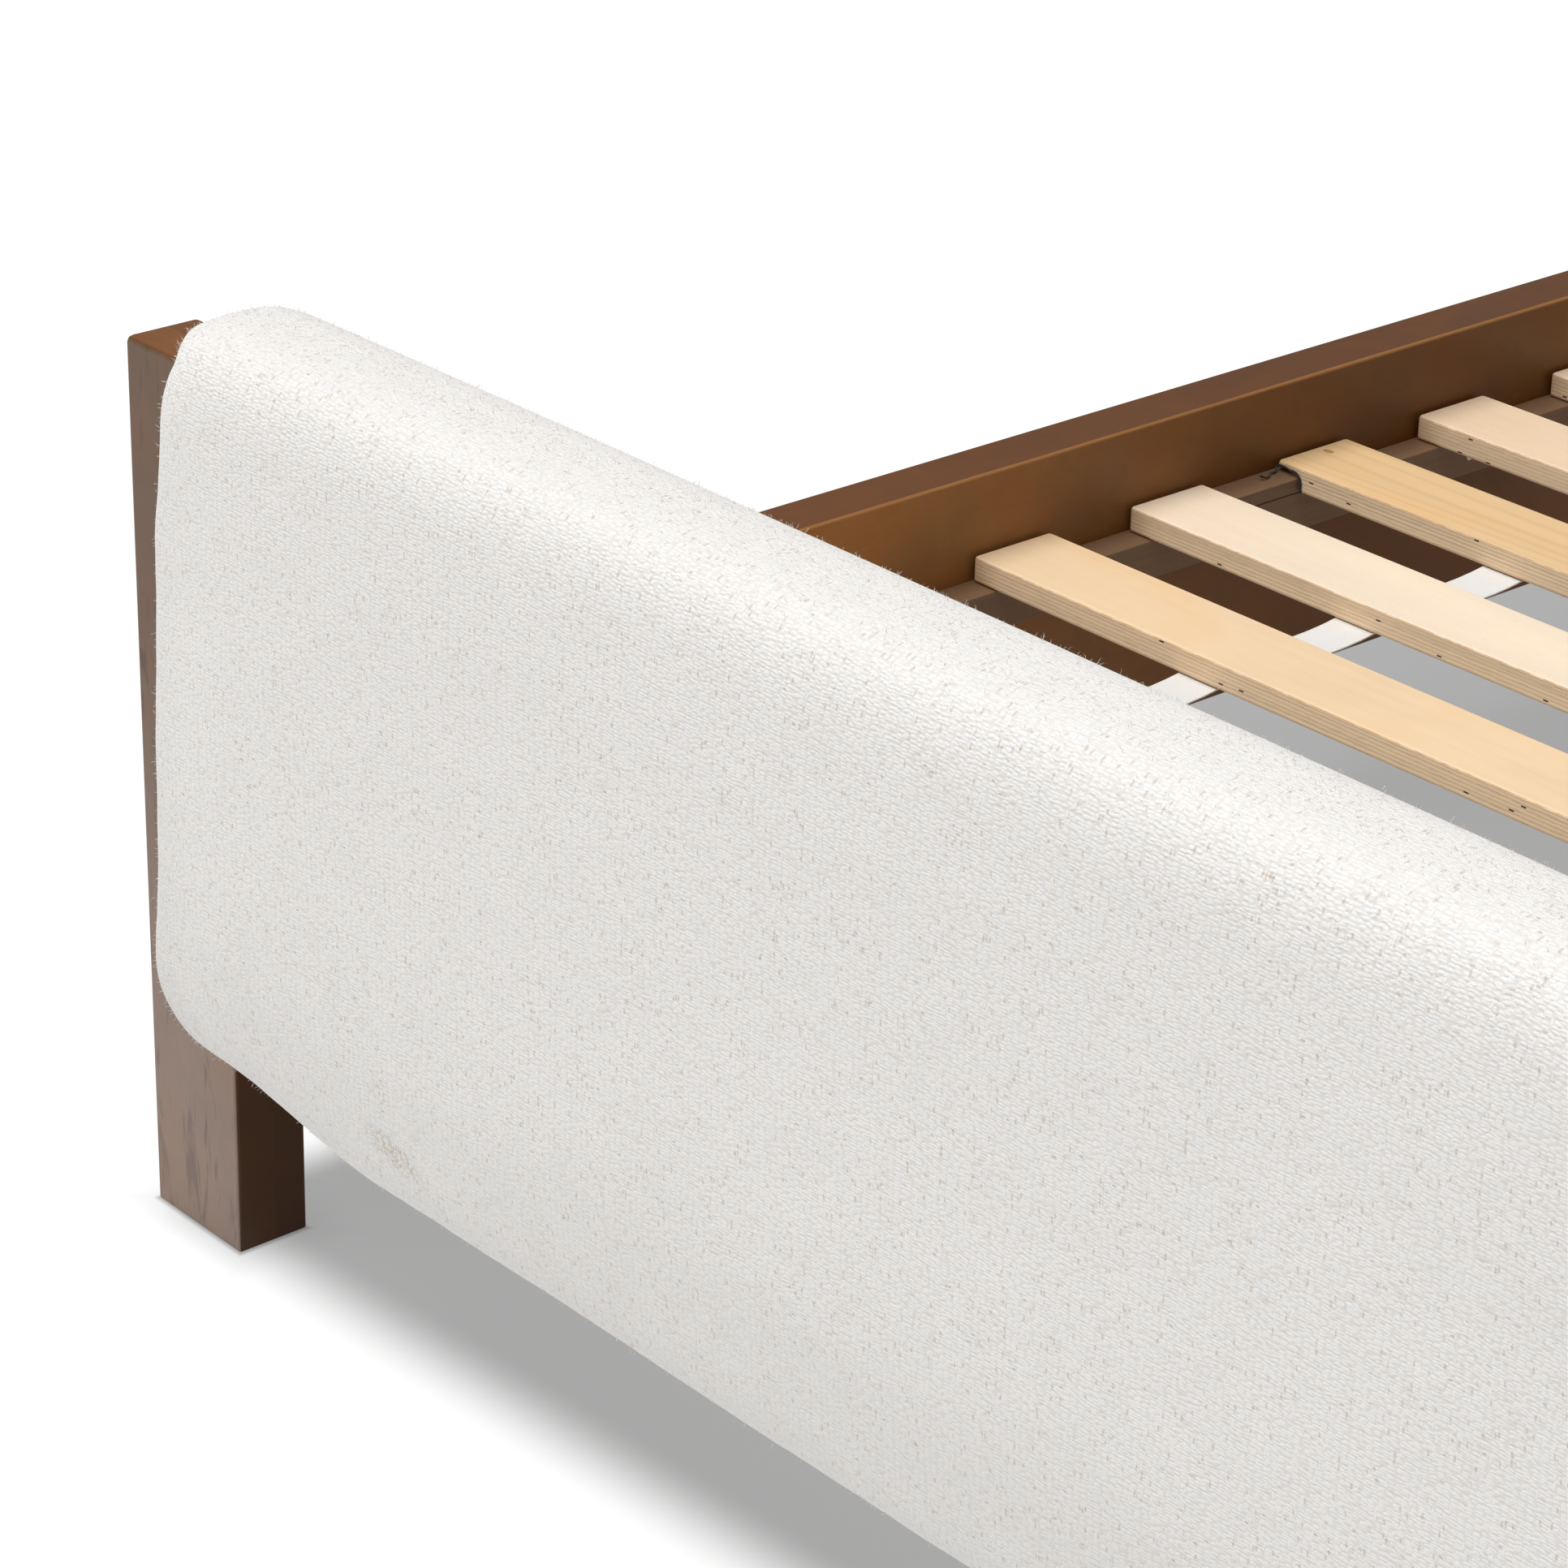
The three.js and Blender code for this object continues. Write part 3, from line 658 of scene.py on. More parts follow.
def boucle(stain):
    """Off-white boucle: looped weft yarn in short dashes, warp dashes between, specks of beige and grey, with painted
    shade in the pits between the loops, in short shadow dashes, and towards the lower edge and the ends.
    """
    f = Finish(
        "boucle", Sheen_Weight=0.22, Sheen_Roughness=0.55, Specular_IOR_Level=0.12, Roughness=0.95)
    weave = f.node("ShaderNodeAttribute", {"attribute_name": "weave"})["Vector"]
    drift = f.cloud(weave, 70, 2, 0.5)["Color"]
    drift = f.node("ShaderNodeVectorMath", {"operation": "SUBTRACT"}, {0: drift, 1: (0.5, 0.5, 0.5)})
    drift = f.dim(drift, 2.6 * MM)
    fuzzy = f.cloud(weave, 520, 2, 0.6)["Color"]
    fuzzy = f.node("ShaderNodeVectorMath", {"operation": "SUBTRACT"}, {0: fuzzy, 1: (0.5, 0.5, 0.5)})
    drift = f.node("ShaderNodeVectorMath", {"operation": "ADD"}, {0: drift, 1: f.dim(fuzzy, 1.3 * MM)})
    yarn = f.node("ShaderNodeVectorMath", {"operation": "ADD"}, {0: weave, 1: drift})

    weft = f.cells(f.stretched(yarn, (1 / (2.1 * NUB), 1 / (0.84 * NUB), 1)), 0.66)
    warp = f.cells(f.stretched(yarn, (1 / (0.95 * NUB), 1 / (2.1 * NUB), 1), (0.37, 0.61, 0)), 0.6)
    weft_random, weft_other, weft_third = f.axes(weft["Color"])
    warp_random, warp_other, _ = f.axes(warp["Color"])
    loop = 1.0 - f.ramp(weft, 0.12, 0.66)
    dash = 1.0 - f.ramp(warp, 0.10, 0.60)
    upright = f.ramp(warp_random, 0.87, 0.91)
    lint = f.cloud(f.stretched(yarn, (900, 1900, 900)), 1, 2, 0.6)
    down = f.cloud(yarn, 2600, 2, 0.6)
    height = f.node("ShaderNodeMath", {"operation": "MAXIMUM"}, {
        0: loop * (0.55 + 0.6 * weft_random), 1: upright * dash * (0.8 + 0.4 * warp_other)})
    height = height + 0.45 * (lint - 0.5) + 0.25 * (down - 0.5)
    pit_shade = f.ramp(height, 0.34, -0.02)

    broad = f.cloud(weave, 7, 2, 0.5)
    patches = f.cloud(weave, 45, 3, 0.6)
    u, v, _ = f.axes(weave)
    # Painted shade: the cloth is darker towards the pad's lower edge and towards its ends beside the posts
    tone = (
        1.0 + 0.03 * (broad - 0.5) + 0.05 * (patches - 0.5) + 0.10 * (lint - 0.5)
        - 0.09 * f.ramp(v, 0.36, 0.17) - 0.09 * f.ramp(f.size(u), 0.655, 0.715))
    colour = f.dim(tint(240, 238, 235), tone)
    # Painted shade in the pits between the loops
    colour = f.mix(pit_shade * 0.30, colour, tint(200, 192, 183))
    warm = f.ramp(weft_other, 0.80, 1.0)
    colour = f.mix(warm * 0.22, colour, tint(232, 219, 206))
    speck_core = f.ramp(weft, 0.55, 0.25)
    beige = f.ramp(weft_third, 0.966, 0.974) * speck_core
    colour = f.mix(beige * 0.32, colour, tint(204, 174, 146))
    shadow_dash = f.ramp(warp_random, 0.080, 0.065) * f.ramp(warp, 0.50, 0.22)
    colour = f.mix(shadow_dash * 0.24, colour, tint(178, 170, 163))
    tan_dash = f.ramp(warp_random, 0.045, 0.035) * f.ramp(warp, 0.45, 0.22)
    colour = f.mix(tan_dash * 0.30, colour, tint(200, 168, 140))
    dark = f.ramp(weft_third, 0.010, 0.006) * f.ramp(weft, 0.40, 0.18)
    colour = f.mix(dark * 0.45, colour, tint(132, 118, 108))

    # A faint smudge low on the footboard
    reach = ((u - stain[0]) / (26 * MM)) ** 2.0 + ((v - stain[1] + 0.25 * (u - stain[0])) / (9 * MM)) ** 2.0
    smudge = f.ramp(reach + 2.4 * (f.cloud(weave, 90, 3, 0.7) - 0.5), 1.5, 0.1)
    smudge = smudge * f.ramp(f.cloud(weave, 380, 3, 0.7), 0.44, 0.60)
    colour = f.mix(smudge * 0.50, colour, tint(172, 146, 108))
    return f.surface(Base_Color=colour, Normal=f.relief(height, 0.62, 0.75 * MM))


def loose_fibre():
    f = Finish("boucle_fibre", Sheen_Weight=0.2, Specular_IOR_Level=0.1)
    hue = f.cloud(f.place(), 300, 1, 0.5)
    return f.surface(
        Base_Color=f.mix(f.ramp(hue, 0.45, 0.7), tint(244, 240, 235), tint(224, 212, 200)),
        Roughness=0.85 + 0.1 * hue)


def dust_cloth():
    """Black non-woven cloth with its bonding dots."""
    f = Finish("dust_cloth", Specular_IOR_Level=0.25)
    place = f.place()
    x, y, z = f.axes(place)
    pitch = 2.4 * MM
    u = x / pitch
    v = z / pitch
    row = f.whole(v)
    u = u + 0.5 * (row - 2 * f.whole(row / 2))
    near = ((u - f.whole(u) - 0.5) ** 2.0 + (v - row - 0.5) ** 2.0) ** 0.5
    dots = f.ramp(near, 0.30, 0.20)
    web = f.cloud(place, 1400, 4, 0.7, 1.5)
    sag = f.cloud(place, 12, 2, 0.5)
    tone = 1.0 + 0.6 * (web - 0.5) + 0.25 * (sag - 0.5) - 0.25 * dots
    return f.surface(
        Base_Color=f.dim(tint(50, 50, 53), tone), Roughness=0.82 + 0.2 * (web - 0.5) - 0.12 * dots,
        Normal=f.relief(web - 0.9 * dots, 0.4, 0.25 * MM))


def cotton_webbing():
    """Flat white tape in a fine twill, with firmer edges."""
    f = Finish("cotton_webbing", Sheen_Weight=0.15, Sheen_Roughness=0.5, Specular_IOR_Level=0.2)
    place = f.place()
    x, y, z = f.axes(place)
    middle = (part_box("slat_webbing_right")[0].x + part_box("slat_webbing_right")[1].x) / 2
    across = f.size(x) - middle
    twill = f.node("ShaderNodeMath", {"operation": "SINE"}, {0: (f.size(across) + 0.6 * y) * (6.2832 / (1.5 * MM))})
    picks = f.node("ShaderNodeMath", {"operation": "SINE"}, {0: y * (6.2832 / (0.8 * MM))})
    edge = f.ramp(f.size(across), 14.2 * MM, 15.2 * MM)
    nap = f.cloud(place, 1500, 3, 0.6)
    grey = f.cloud(f.stretched(place, (60, 14, 60)), 1, 3, 0.6)
    height = 0.5 * twill + 0.35 * picks + 0.6 * (nap - 0.5) + 0.5 * edge
    tone = 1.0 + 0.07 * (nap - 0.5) + 0.09 * (grey - 0.5) + 0.02 * twill
    colour = f.dim(tint(222, 220, 217), tone)
    colour = f.mix(edge * 0.18, colour, tint(214, 208, 200))
    return f.surface(Base_Color=colour, Roughness=0.88 + 0.1 * (nap - 0.5), Normal=f.relief(height, 0.3, 0.2 * MM))


def powder_coat():
    """Black powder coat with its fine orange peel."""
    f = Finish("black_powder_coat", Specular_IOR_Level=0.5)
    place = f.place()
    peel = f.cloud(place, 650, 3, 0.55)
    rub = f.ramp(f.cloud(place, 60, 4, 0.7), 0.62, 0.8)
    colour = f.mix(rub * 0.5, tint(34, 34, 36), tint(58, 57, 56))
    return f.surface(
        Base_Color=colour, Roughness=0.42 + 0.2 * (peel - 0.5) + 0.12 * rub,
        Normal=f.relief(peel, 0.25, 0.2 * MM))


def zinc_plate():
    """Zinc-plated steel with a faint yellow and blue cast."""
    f = Finish("zinc_plate", Metallic=1.0)
    place = f.place()
    cast = f.cloud(place, 140, 3, 0.6)
    wear = f.cloud(place, 900, 3, 0.6)
    colour = f.mix(f.ramp(cast, 0.35, 0.7), tint(190, 194, 200), tint(205, 198, 178))
    return f.surface(
        Base_Color=f.dim(colour, 0.9 + 0.2 * wear), Roughness=0.28 + 0.26 * (wear - 0.3),
        Normal=f.relief(wear, 0.08, 0.1 * MM))


def moulded_nylon():
    f = Finish("moulded_nylon", Specular_IOR_Level=0.45)
    place = f.place()
    sparks = f.cloud(place, 2200, 2, 0.6)
    scratches = f.ramp(f.cloud(f.stretched(place, (90, 700, 300)), 1, 3, 0.7), 0.66, 0.78)
    colour = f.mix(scratches * 0.4, tint(43, 43, 45), tint(82, 81, 80))
    return f.surface(
        Base_Color=colour, Roughness=0.5 + 0.25 * (sparks - 0.5), Normal=f.relief(sparks, 0.2, 0.15 * MM))


def spun_thread():
    f = Finish("spun_thread", Sheen_Weight=0.3, Specular_IOR_Level=0.25)
    place = f.place()
    lint = f.cloud(place, 2400, 3, 0.7)
    colour = f.mix(f.ramp(lint, 0.5, 0.75), tint(19, 20, 27), tint(52, 54, 66))
    return f.surface(Base_Color=colour, Roughness=0.8 + 0.2 * (lint - 0.5), Normal=f.relief(lint, 0.5, 0.3 * MM))


FOOT_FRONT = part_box("foot_post_left")[0].y
HEAD_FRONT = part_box("head_post_left")[0].y
RAIL_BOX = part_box("side_rail_right")
SMUDGE = (-0.471, 0.2055)
KNOT = (-0.756, -0.1065)

POST_FACES = {
    "top": (124, 77, 37), "inner_shaded": ((64, 36, 4), (64, 36, 4)), "outer": (112, 74, 44),
    "front": ((138, 116, 102), (108, 81, 60)),
}
RAIL_FACES = {
    "top": (102, 60, 24), "inner_shaded": ((170, 119, 66), (108, 69, 29)), "outer": (114, 74, 40),
    "front": ((114, 74, 40), (114, 74, 40)),
}
FOOT_POST_STAIN = walnut_stain(
    "walnut_stain_foot_posts", "Z", **POST_FACES,
    glue_lines=[(FOOT_FRONT + 27 * MM, -0.20), (FOOT_FRONT + 37 * MM, 0.05)])
HEAD_POST_STAIN = walnut_stain(
    "walnut_stain_head_posts", "Z", **POST_FACES,
    glue_lines=[(HEAD_FRONT + 24 * MM, -0.15), (HEAD_FRONT + 36 * MM, 0.10)])
RAIL_STAIN = walnut_stain(
    "walnut_stain_side_rails", "Y", **RAIL_FACES, arris=(RAIL_BOX[0].x, RAIL_BOX[1].z))
CROSS_STAIN = walnut_stain("walnut_stain_cross_rail", "X", **RAIL_FACES)
LEDGE_STAIN = ledge_stain()
BIRCH_PLYWOOD = birch_plywood(KNOT)
PINE_BEAM = pine("pine_beam", "Y")
PINE_LEG = pine("pine_leg", "Z")
PINE_CORE = pine("pine_core", "X")
BOUCLE = boucle(SMUDGE)
FIBRE = loose_fibre()
DUST_CLOTH = dust_cloth()
WEBBING = cotton_webbing()
POWDER_COAT = powder_coat()
ZINC = zinc_plate()
NYLON = moulded_nylon()
THREAD = spun_thread()


# ---- Thread, finished ----
hand_in(thread, THREAD, "black_thread", "loose_thread")


# ---- Posts ----
POST_ARRIS = 2.8 * MM
POST_CROWN = 4.6 * MM
POST_FOOT = 1.6 * MM


def post(end, side, stain):
    """A square post with eased edges and two countersunk bolt holes in its outer face."""
    node = f"{end}_post_{side}"
    low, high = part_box(node)
    piece = cube(f"{node}_timber", low, high)

    def ease(middle, run):
        if abs(run.z) > 0.5:
            return POST_ARRIS
        return POST_CROWN if middle.z > high.z / 2 else POST_FOOT

    ease_edges(piece, POST_CROWN, ease, 5)
    for number in (1, 2):
        bolt_low, bolt_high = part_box(f"panel_bolt_{end}_{side}_{number}")
        middle = (bolt_low + bolt_high) / 2
        outer = high.x if side == "right" else low.x
        cut(piece, cylinder("counterbore", (outer, middle.y, middle.z), 9 * MM, 16 * MM, "X", 40))
    smooth(piece)
    hand_in(piece, stain, "walnut_stained_wood", node)


for SIDE in ("left", "right"):
    post("foot", SIDE, FOOT_POST_STAIN)
    post("head", SIDE, HEAD_POST_STAIN)


# ---- Rails, ledges, beam, legs and cross rail ----
def planed(node, ease, finish, slot):
    low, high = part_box(node)
    piece = board(f"{node}_timber", low, high, ease)
    smooth(piece)
    hand_in(piece, finish, slot, node)


for SIDE in ("left", "right"):
    planed(f"side_rail_{SIDE}", 1.8 * MM, RAIL_STAIN, "walnut_stained_wood")
    planed(f"slat_ledge_{SIDE}", 1.2 * MM, LEDGE_STAIN, "ledge_wood")
    planed(f"slat_stop_block_{SIDE}", 1.2 * MM, LEDGE_STAIN, "ledge_wood")
planed("headboard_cross_rail", 2.2 * MM, CROSS_STAIN, "walnut_stained_wood")
planed("centre_beam", 2.0 * MM, PINE_BEAM, "pine")


# ---- Slats ----
BLOCK_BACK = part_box("slat_stop_block_left")[1].y
NOTCH_LENGTH = 25 * MM
NOTCH_ROOF = 3.4 * MM
NOTCH_CORNER = 9 * MM


def notch(side):
    """A block with one rounded upper corner, the shape of the end notch."""
    low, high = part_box(f"slat_{NOTCHED:02d}")
    root = side * (high.x - NOTCH_LENGTH)
    tip = side * (high.x + MM)
    roof = high.z - NOTCH_ROOF
    cutter = cube(
        "notch", (min(root, tip), low.y - MM, low.z - 5 * MM), (max(root, tip), BLOCK_BACK + MM, roof))
    pick(cutter, "EDGE", lambda middle, run: abs(run.y) > 0.5 and middle.z > roof - MM
         and abs(middle.x - root) < MM)
    bpy.ops.mesh.bevel(offset=NOTCH_CORNER, segments=8, profile=0.5)
    leave_edit()
    return cutter


def slat(number):
    node = f"slat_{number:02d}"
    low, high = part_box(node)
    piece = cube(f"{node}_plywood", low, high)
    pick(piece, "EDGE", lambda middle, run: abs(run.z) > 0.5)
    bpy.ops.mesh.bevel(offset=3.4 * MM, segments=5, profile=0.5)
    leave_edit()
    pick(piece, "FACE", lambda middle, normal: abs(normal.z) > 0.5)
    bpy.ops.mesh.bevel(offset=2.3 * MM, segments=4, profile=0.5, affect="EDGES")
    leave_edit()
    if number == NOTCHED:
        cut(piece, notch(-1), notch(1))
    smooth(piece)
    hand_in(piece, BIRCH_PLYWOOD, "birch_plywood", node)


for NUMBER in range(1, SLAT_COUNT + 1):
    slat(NUMBER)


# ---- Webbing ----
def strap(side):
    """A tape drawn along under the slats, sagging between them, then given its thickness."""
    low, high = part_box(f"slat_webbing_{side}")
    top = high.z
    sag = 3 * MM
    inset = 4 * MM
    steps = 6
    path = []
    for number in range(1, SLAT_COUNT + 1):
        slat_low, slat_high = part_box(f"slat_{number:02d}")
        path.append((slat_low.y + inset, top))
        path.append((slat_high.y - inset, top))
        if number < SLAT_COUNT:
            start = slat_high.y - inset
            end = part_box(f"slat_{number + 1:02d}")[0].y + inset
            for step in range(1, steps):
                t = step / steps
                path.append((start + (end - start) * t, top - 4 * sag * t * (1 - t)))
    first, second = path[0], path[1]
    bpy.ops.mesh.primitive_plane_add(size=1, location=((low.x + high.x) / 2, (first[0] + second[0]) / 2, top))
    bpy.context.object.scale = (high.x - low.x, second[0] - first[0], 1)
    piece = name_piece(f"slat_webbing_{side}_tape")
    pick(piece, "EDGE", lambda middle, run: abs(run.x) > 0.5 and middle.y > second[0] - MM)
    for (y0, z0), (y1, z1) in zip(path[1:], path[2:]):
        bpy.ops.mesh.extrude_region_move(TRANSFORM_OT_translate={"value": (0, y1 - y0, z1 - z0)})
    leave_edit()
    modify(piece, "SOLIDIFY", thickness=1.2 * MM, offset=-1)
    low_side = [v.co.z for v in piece.data.vertices]
    lift = top - max(low_side)
    piece.data.transform(Matrix.Translation((0, 0, lift)))
    modify(piece, "BEVEL", width=0.35 * MM, segments=2, limit_method="ANGLE", angle_limit=math.radians(60))
    smooth(piece)
    hand_in(piece, WEBBING, "cotton_webbing", f"slat_webbing_{side}")


def staple_pattern():
    """One staple with its crown along X, its legs going up."""
    half = 5 * MM
    points = [Vector((-half, 0, 2.4 * MM)), Vector((-half, 0, 0.4 * MM)), Vector((-half + 0.4 * MM, 0, 0)),
              Vector((half - 0.4 * MM, 0, 0)), Vector((half, 0, 0.4 * MM)), Vector((half, 0, 2.4 * MM))]
    wire = round_line("staple", points, 0.42 * MM, 1)
    alone(wire)
    bpy.ops.object.convert(target="MESH")
    return bpy.context.object


def webbing_staples(side):
    low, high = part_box(f"slat_webbing_{side}")
    under = high.z - 1.2 * MM - 0.25 * MM
    middle = (low.x + high.x) / 2
    places = []
    for number in range(1, SLAT_COUNT + 1):
        slat_low, slat_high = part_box(f"slat_{number:02d}")
        for row, along in enumerate((0.3, 0.7)):
            y = slat_low.y + (slat_high.y - slat_low.y) * along
            lean = math.radians((number * 37 + row * 61) % 23 - 11)
            offset = ((number * 29 + row * 17) % 9 - 4) * MM
            places.append(Matrix.Translation((middle + offset, y, under)) @ Matrix.Rotation(lean, 4, "Z"))
    piece = copies(f"webbing_staples_{side}", staple_pattern(), places)
    smooth(piece, 50)
    hand_in(piece, ZINC, "zinc_plated_steel")


for SIDE in ("left", "right"):
    strap(SIDE)
    webbing_staples(SIDE)


# ---- Screws ----
def screw_pattern(radius):
    """A flat screw head that looks along +Z, with a cross recess."""
    height = 0.5 * radius
    head = cylinder("screw_head", (0, 0, 0), radius, height, "Z", 24)
    pick(head, "FACE", lambda middle, normal: normal.z > 0.5)
    bpy.ops.mesh.bevel(offset=0.16 * radius, segments=2, profile=0.5, affect="EDGES")
    leave_edit()
    long, thin, deep = 0.58 * radius, 0.12 * radius, 0.35 * height
    cut(
        head, cube("slot", (-long, -thin, height / 2 - deep), (long, thin, height)),
        cube("slot", (-thin, -long, height / 2 - deep), (thin, long, height)))
    return head


def facing(where, way):
    """The place of a part that looks along a direction."""
    return Matrix.Translation(where) @ Vector(way).to_track_quat("Z", "Y").to_matrix().to_4x4()


def screws(name, radius, places):
    turned = [place @ Matrix.Rotation(0.7 * number, 4, "Z") for number, place in enumerate(places)]
    piece = copies(name, screw_pattern(radius), turned)
    smooth(piece, 40)
    hand_in(piece, ZINC, "zinc_plated_steel")


def ledge_screws(side):
    """One screw under every second slat holds the ledge to its rail."""
    low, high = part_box(f"slat_ledge_{side}")
    face, way = (high.x, 1) if side == "left" else (low.x, -1)
    height = (low.z + high.z) / 2
    places = []
    for number in range(1, SLAT_COUNT + 1, 2):
        slat_low, slat_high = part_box(f"slat_{number:02d}")
        places.append(facing((face, (slat_low.y + slat_high.y) / 2, height), (way, 0, 0)))
    screws(f"ledge_screws_{side}", 3.6 * MM, places)


# ---- Corner brackets and bolts ----
BRACKET_PLATE = 3 * MM
BRACKET_SCREW_HEIGHTS = (140 * MM, 179 * MM, 218 * MM)


def corner_bracket(end, side):
    """A folded steel angle, screwed to the rail and bolted to the post."""
    node = f"corner_bracket_{end}_{side}"
    hand_in(refined(node, 0.7 * MM), POWDER_COAT, "black_steel", node)
    low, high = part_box(node)
    face, way = (low.x + BRACKET_PLATE, 1) if side == "left" else (high.x - BRACKET_PLATE, -1)
    along = low.y + 25 * MM if end == "foot" else high.y - 25 * MM
    places = [facing((face, along, height), (way, 0, 0)) for height in BRACKET_SCREW_HEIGHTS]
    screws(f"bracket_screws_{end}_{side}", 4 * MM, places)
    for kind in ("bracket_bolt", "panel_bolt"):
        for number in (1, 2):
            bolt = f"{kind}_{end}_{side}_{number}"
            hand_in(refined(bolt, 0.6 * MM), ZINC, "zinc_plated_steel", bolt)


# ---- Beam hangers, centre legs and glides ----
HANGER_PLATE = 2.5 * MM
INSERT_RADIUS = 9.5 * MM
INSERT_FLANGE = 0.8 * MM
BORE_RADIUS = 4.4 * MM
BORE_TOP = 68 * MM
GLIDE_DISC_TOP = 8 * MM
THREAD_PITCH = 1.25 * MM
THREAD_DEPTH = 0.45 * MM


def beam_hanger(end, way):
    node = f"{end}_beam_hanger"
    hand_in(refined(node, 0.5 * MM), POWDER_COAT, "black_steel", node)
    low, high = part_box(node)
    face = low.y + HANGER_PLATE if way > 0 else high.y - HANGER_PLATE
    inset = 9 * MM
    places = [
        facing((x, face, z), (0, way, 0))
        for x in (low.x + inset, high.x - inset) for z in (high.z - inset, high.z - 92 * MM + inset)]
    screws(f"{end}_hanger_screws", 4 * MM, places)


def centre_leg(number):
    """A pine leg with a steel insert in its foot for the glide's stem."""
    node = f"centre_leg_{number}"
    low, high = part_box(node)
    middle = (low + high) / 2
    piece = board(f"{node}_timber", low, high, 2 * MM)
    cut(piece, cylinder("bore", (middle.x, middle.y, low.z), BORE_RADIUS, 2 * (BORE_TOP - low.z), "Z", 32))
    smooth(piece)
    hand_in(piece, PINE_LEG, "pine", node)
    flange = cylinder(
        f"leg_insert_{number}", (middle.x, middle.y, low.z - INSERT_FLANGE / 2), INSERT_RADIUS, INSERT_FLANGE, "Z", 40)
    cut(flange, cylinder("bore", (middle.x, middle.y, low.z), BORE_RADIUS, 8 * MM, "Z", 32))
    smooth(flange)
    hand_in(flange, ZINC, "zinc_plated_steel")


def levelling_glide(number):
    """A moulded disc with a soft rim and a grip ring, on a threaded steel stem."""
    node = f"levelling_glide_{number}"
    low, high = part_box(node)
    middle = (low + high) / 2
    disc = cylinder(
        f"glide_disc_{number}", (middle.x, middle.y, (low.z + GLIDE_DISC_TOP) / 2), (high.x - low.x) / 2,
        GLIDE_DISC_TOP - low.z, "Z", 64)
    pick(disc, "FACE", lambda where, normal: normal.z > 0.5)
    bpy.ops.mesh.inset(thickness=4 * MM, depth=0)
    bpy.ops.mesh.inset(thickness=1.2 * MM, depth=-0.8 * MM)
    leave_edit()
    modify(disc, "BEVEL", width=1.1 * MM, segments=3, limit_method="ANGLE", angle_limit=math.radians(60))
    smooth(disc)
    hand_in(disc, NYLON, "glide_plastic", node, body=f"glide_{number}")

    radius = 4 * MM
    bpy.ops.mesh.primitive_circle_add(
        vertices=24, radius=radius, fill_type="NGON", location=(middle.x, middle.y, GLIDE_DISC_TOP - 2 * MM))
    stem = name_piece(f"glide_stem_{number}")
    pick(stem, "FACE", lambda where, normal: True)
    rise = THREAD_PITCH / 2
    turns = int((high.z - GLIDE_DISC_TOP) / THREAD_PITCH)
    bpy.ops.mesh.extrude_region_move(TRANSFORM_OT_translate={"value": (0, 0, 2 * MM)})
    for _ in range(turns):
        for scale in ((radius - THREAD_DEPTH) / radius, radius / (radius - THREAD_DEPTH)):
            bpy.ops.mesh.extrude_region_move(TRANSFORM_OT_translate={"value": (0, 0, rise)})
            bpy.ops.transform.resize(value=(scale, scale, 1))
    bpy.ops.mesh.select_all(action="SELECT")
    bpy.ops.mesh.normals_make_consistent(inside=False)
    leave_edit()
    smooth(stem, 25)
    hand_in(stem, ZINC, "zinc_plated_steel", body=f"glide_{number}")


for SIDE in ("left", "right"):
    ledge_screws(SIDE)
    corner_bracket("foot", SIDE)
    corner_bracket("head", SIDE)
beam_hanger("foot", 1)
beam_hanger("head", -1)
for NUMBER in (1, 2):
    centre_leg(NUMBER)
    levelling_glide(NUMBER)


# ---- The thread's ends ----
def tuft(name, where, way, seed):
    """Frayed strands at a cut end of the thread, round a small turned knot."""
    chance = np.random.default_rng(seed)
    strands = []
    for _ in range(7):
        spread = Vector(chance.normal(0, 0.55, 3))
        spread.z = max(spread.z, -0.1)
        reach = (1.2 + 1.4 * chance.random()) * MM
        points = [where - way * 0.5 * MM, where + (way + 0.3 * spread) * 0.5 * reach, where + (way + spread) * reach]
        strand = round_line("strand", smooth_route(points, 3), 0.14 * MM, 1)
        alone(strand)
        bpy.ops.object.convert(target="MESH")
        strands.append(bpy.context.object)
    for turn in (0.5, 2.1):
        bpy.ops.mesh.primitive_torus_add(
            major_radius=0.75 * MM, minor_radius=0.42 * MM, major_segments=16, minor_segments=8,
            location=where, rotation=(turn, 0.6, turn))
        strands.append(name_piece("knot"))
    piece = join(name, strands)
    smooth(piece, 60)
    return hand_in(piece, THREAD, "black_thread")


thread_ends = [
    tuft("thread_end_low", thread_points[0], (thread_points[0] - thread_points[1]).normalized(), 3),
    tuft("thread_end_far", thread_points[-1], (thread_points[-1] - thread_points[-2]).normalized(), 5),
]


# ---- Upholstered pads ----
# The cover is shaped from a block of foam, blown up against its seams, then held to its outline.
PAD_HALF = 0.724
ROLL_TOP = 50 * MM
ROLL_SIDE = 44 * MM
ROLL_BOTTOM = 35 * MM
TOP_CORNER = 54 * MM
LOW_CORNER = 58 * MM
CROWN = 3 * MM                         # how much lower the top is at its ends
PULL_IN = 13 * MM                      # how much narrower the panel is at its top
PULL_FROM = 330 * MM
SIDE_EASE = 6 * MM                     # how far the sides stand back from the posts all the way up
SIDE_LEAN = 5 * MM
CORNER_PULL = 7 * MM
TOP_LEAN = 21 * MM                     # how far the roll at the top leans forward at its back
END_LIFT = 15 * MM                     # how much higher the lower edge is at its ends
SLIP = 0.2


def rise(values, low, high):
    """0 below low, 1 above high, and smooth between."""
    t = np.clip((values - low) / (high - low), 0, 1)
    return t * t * (3 - 2 * t)


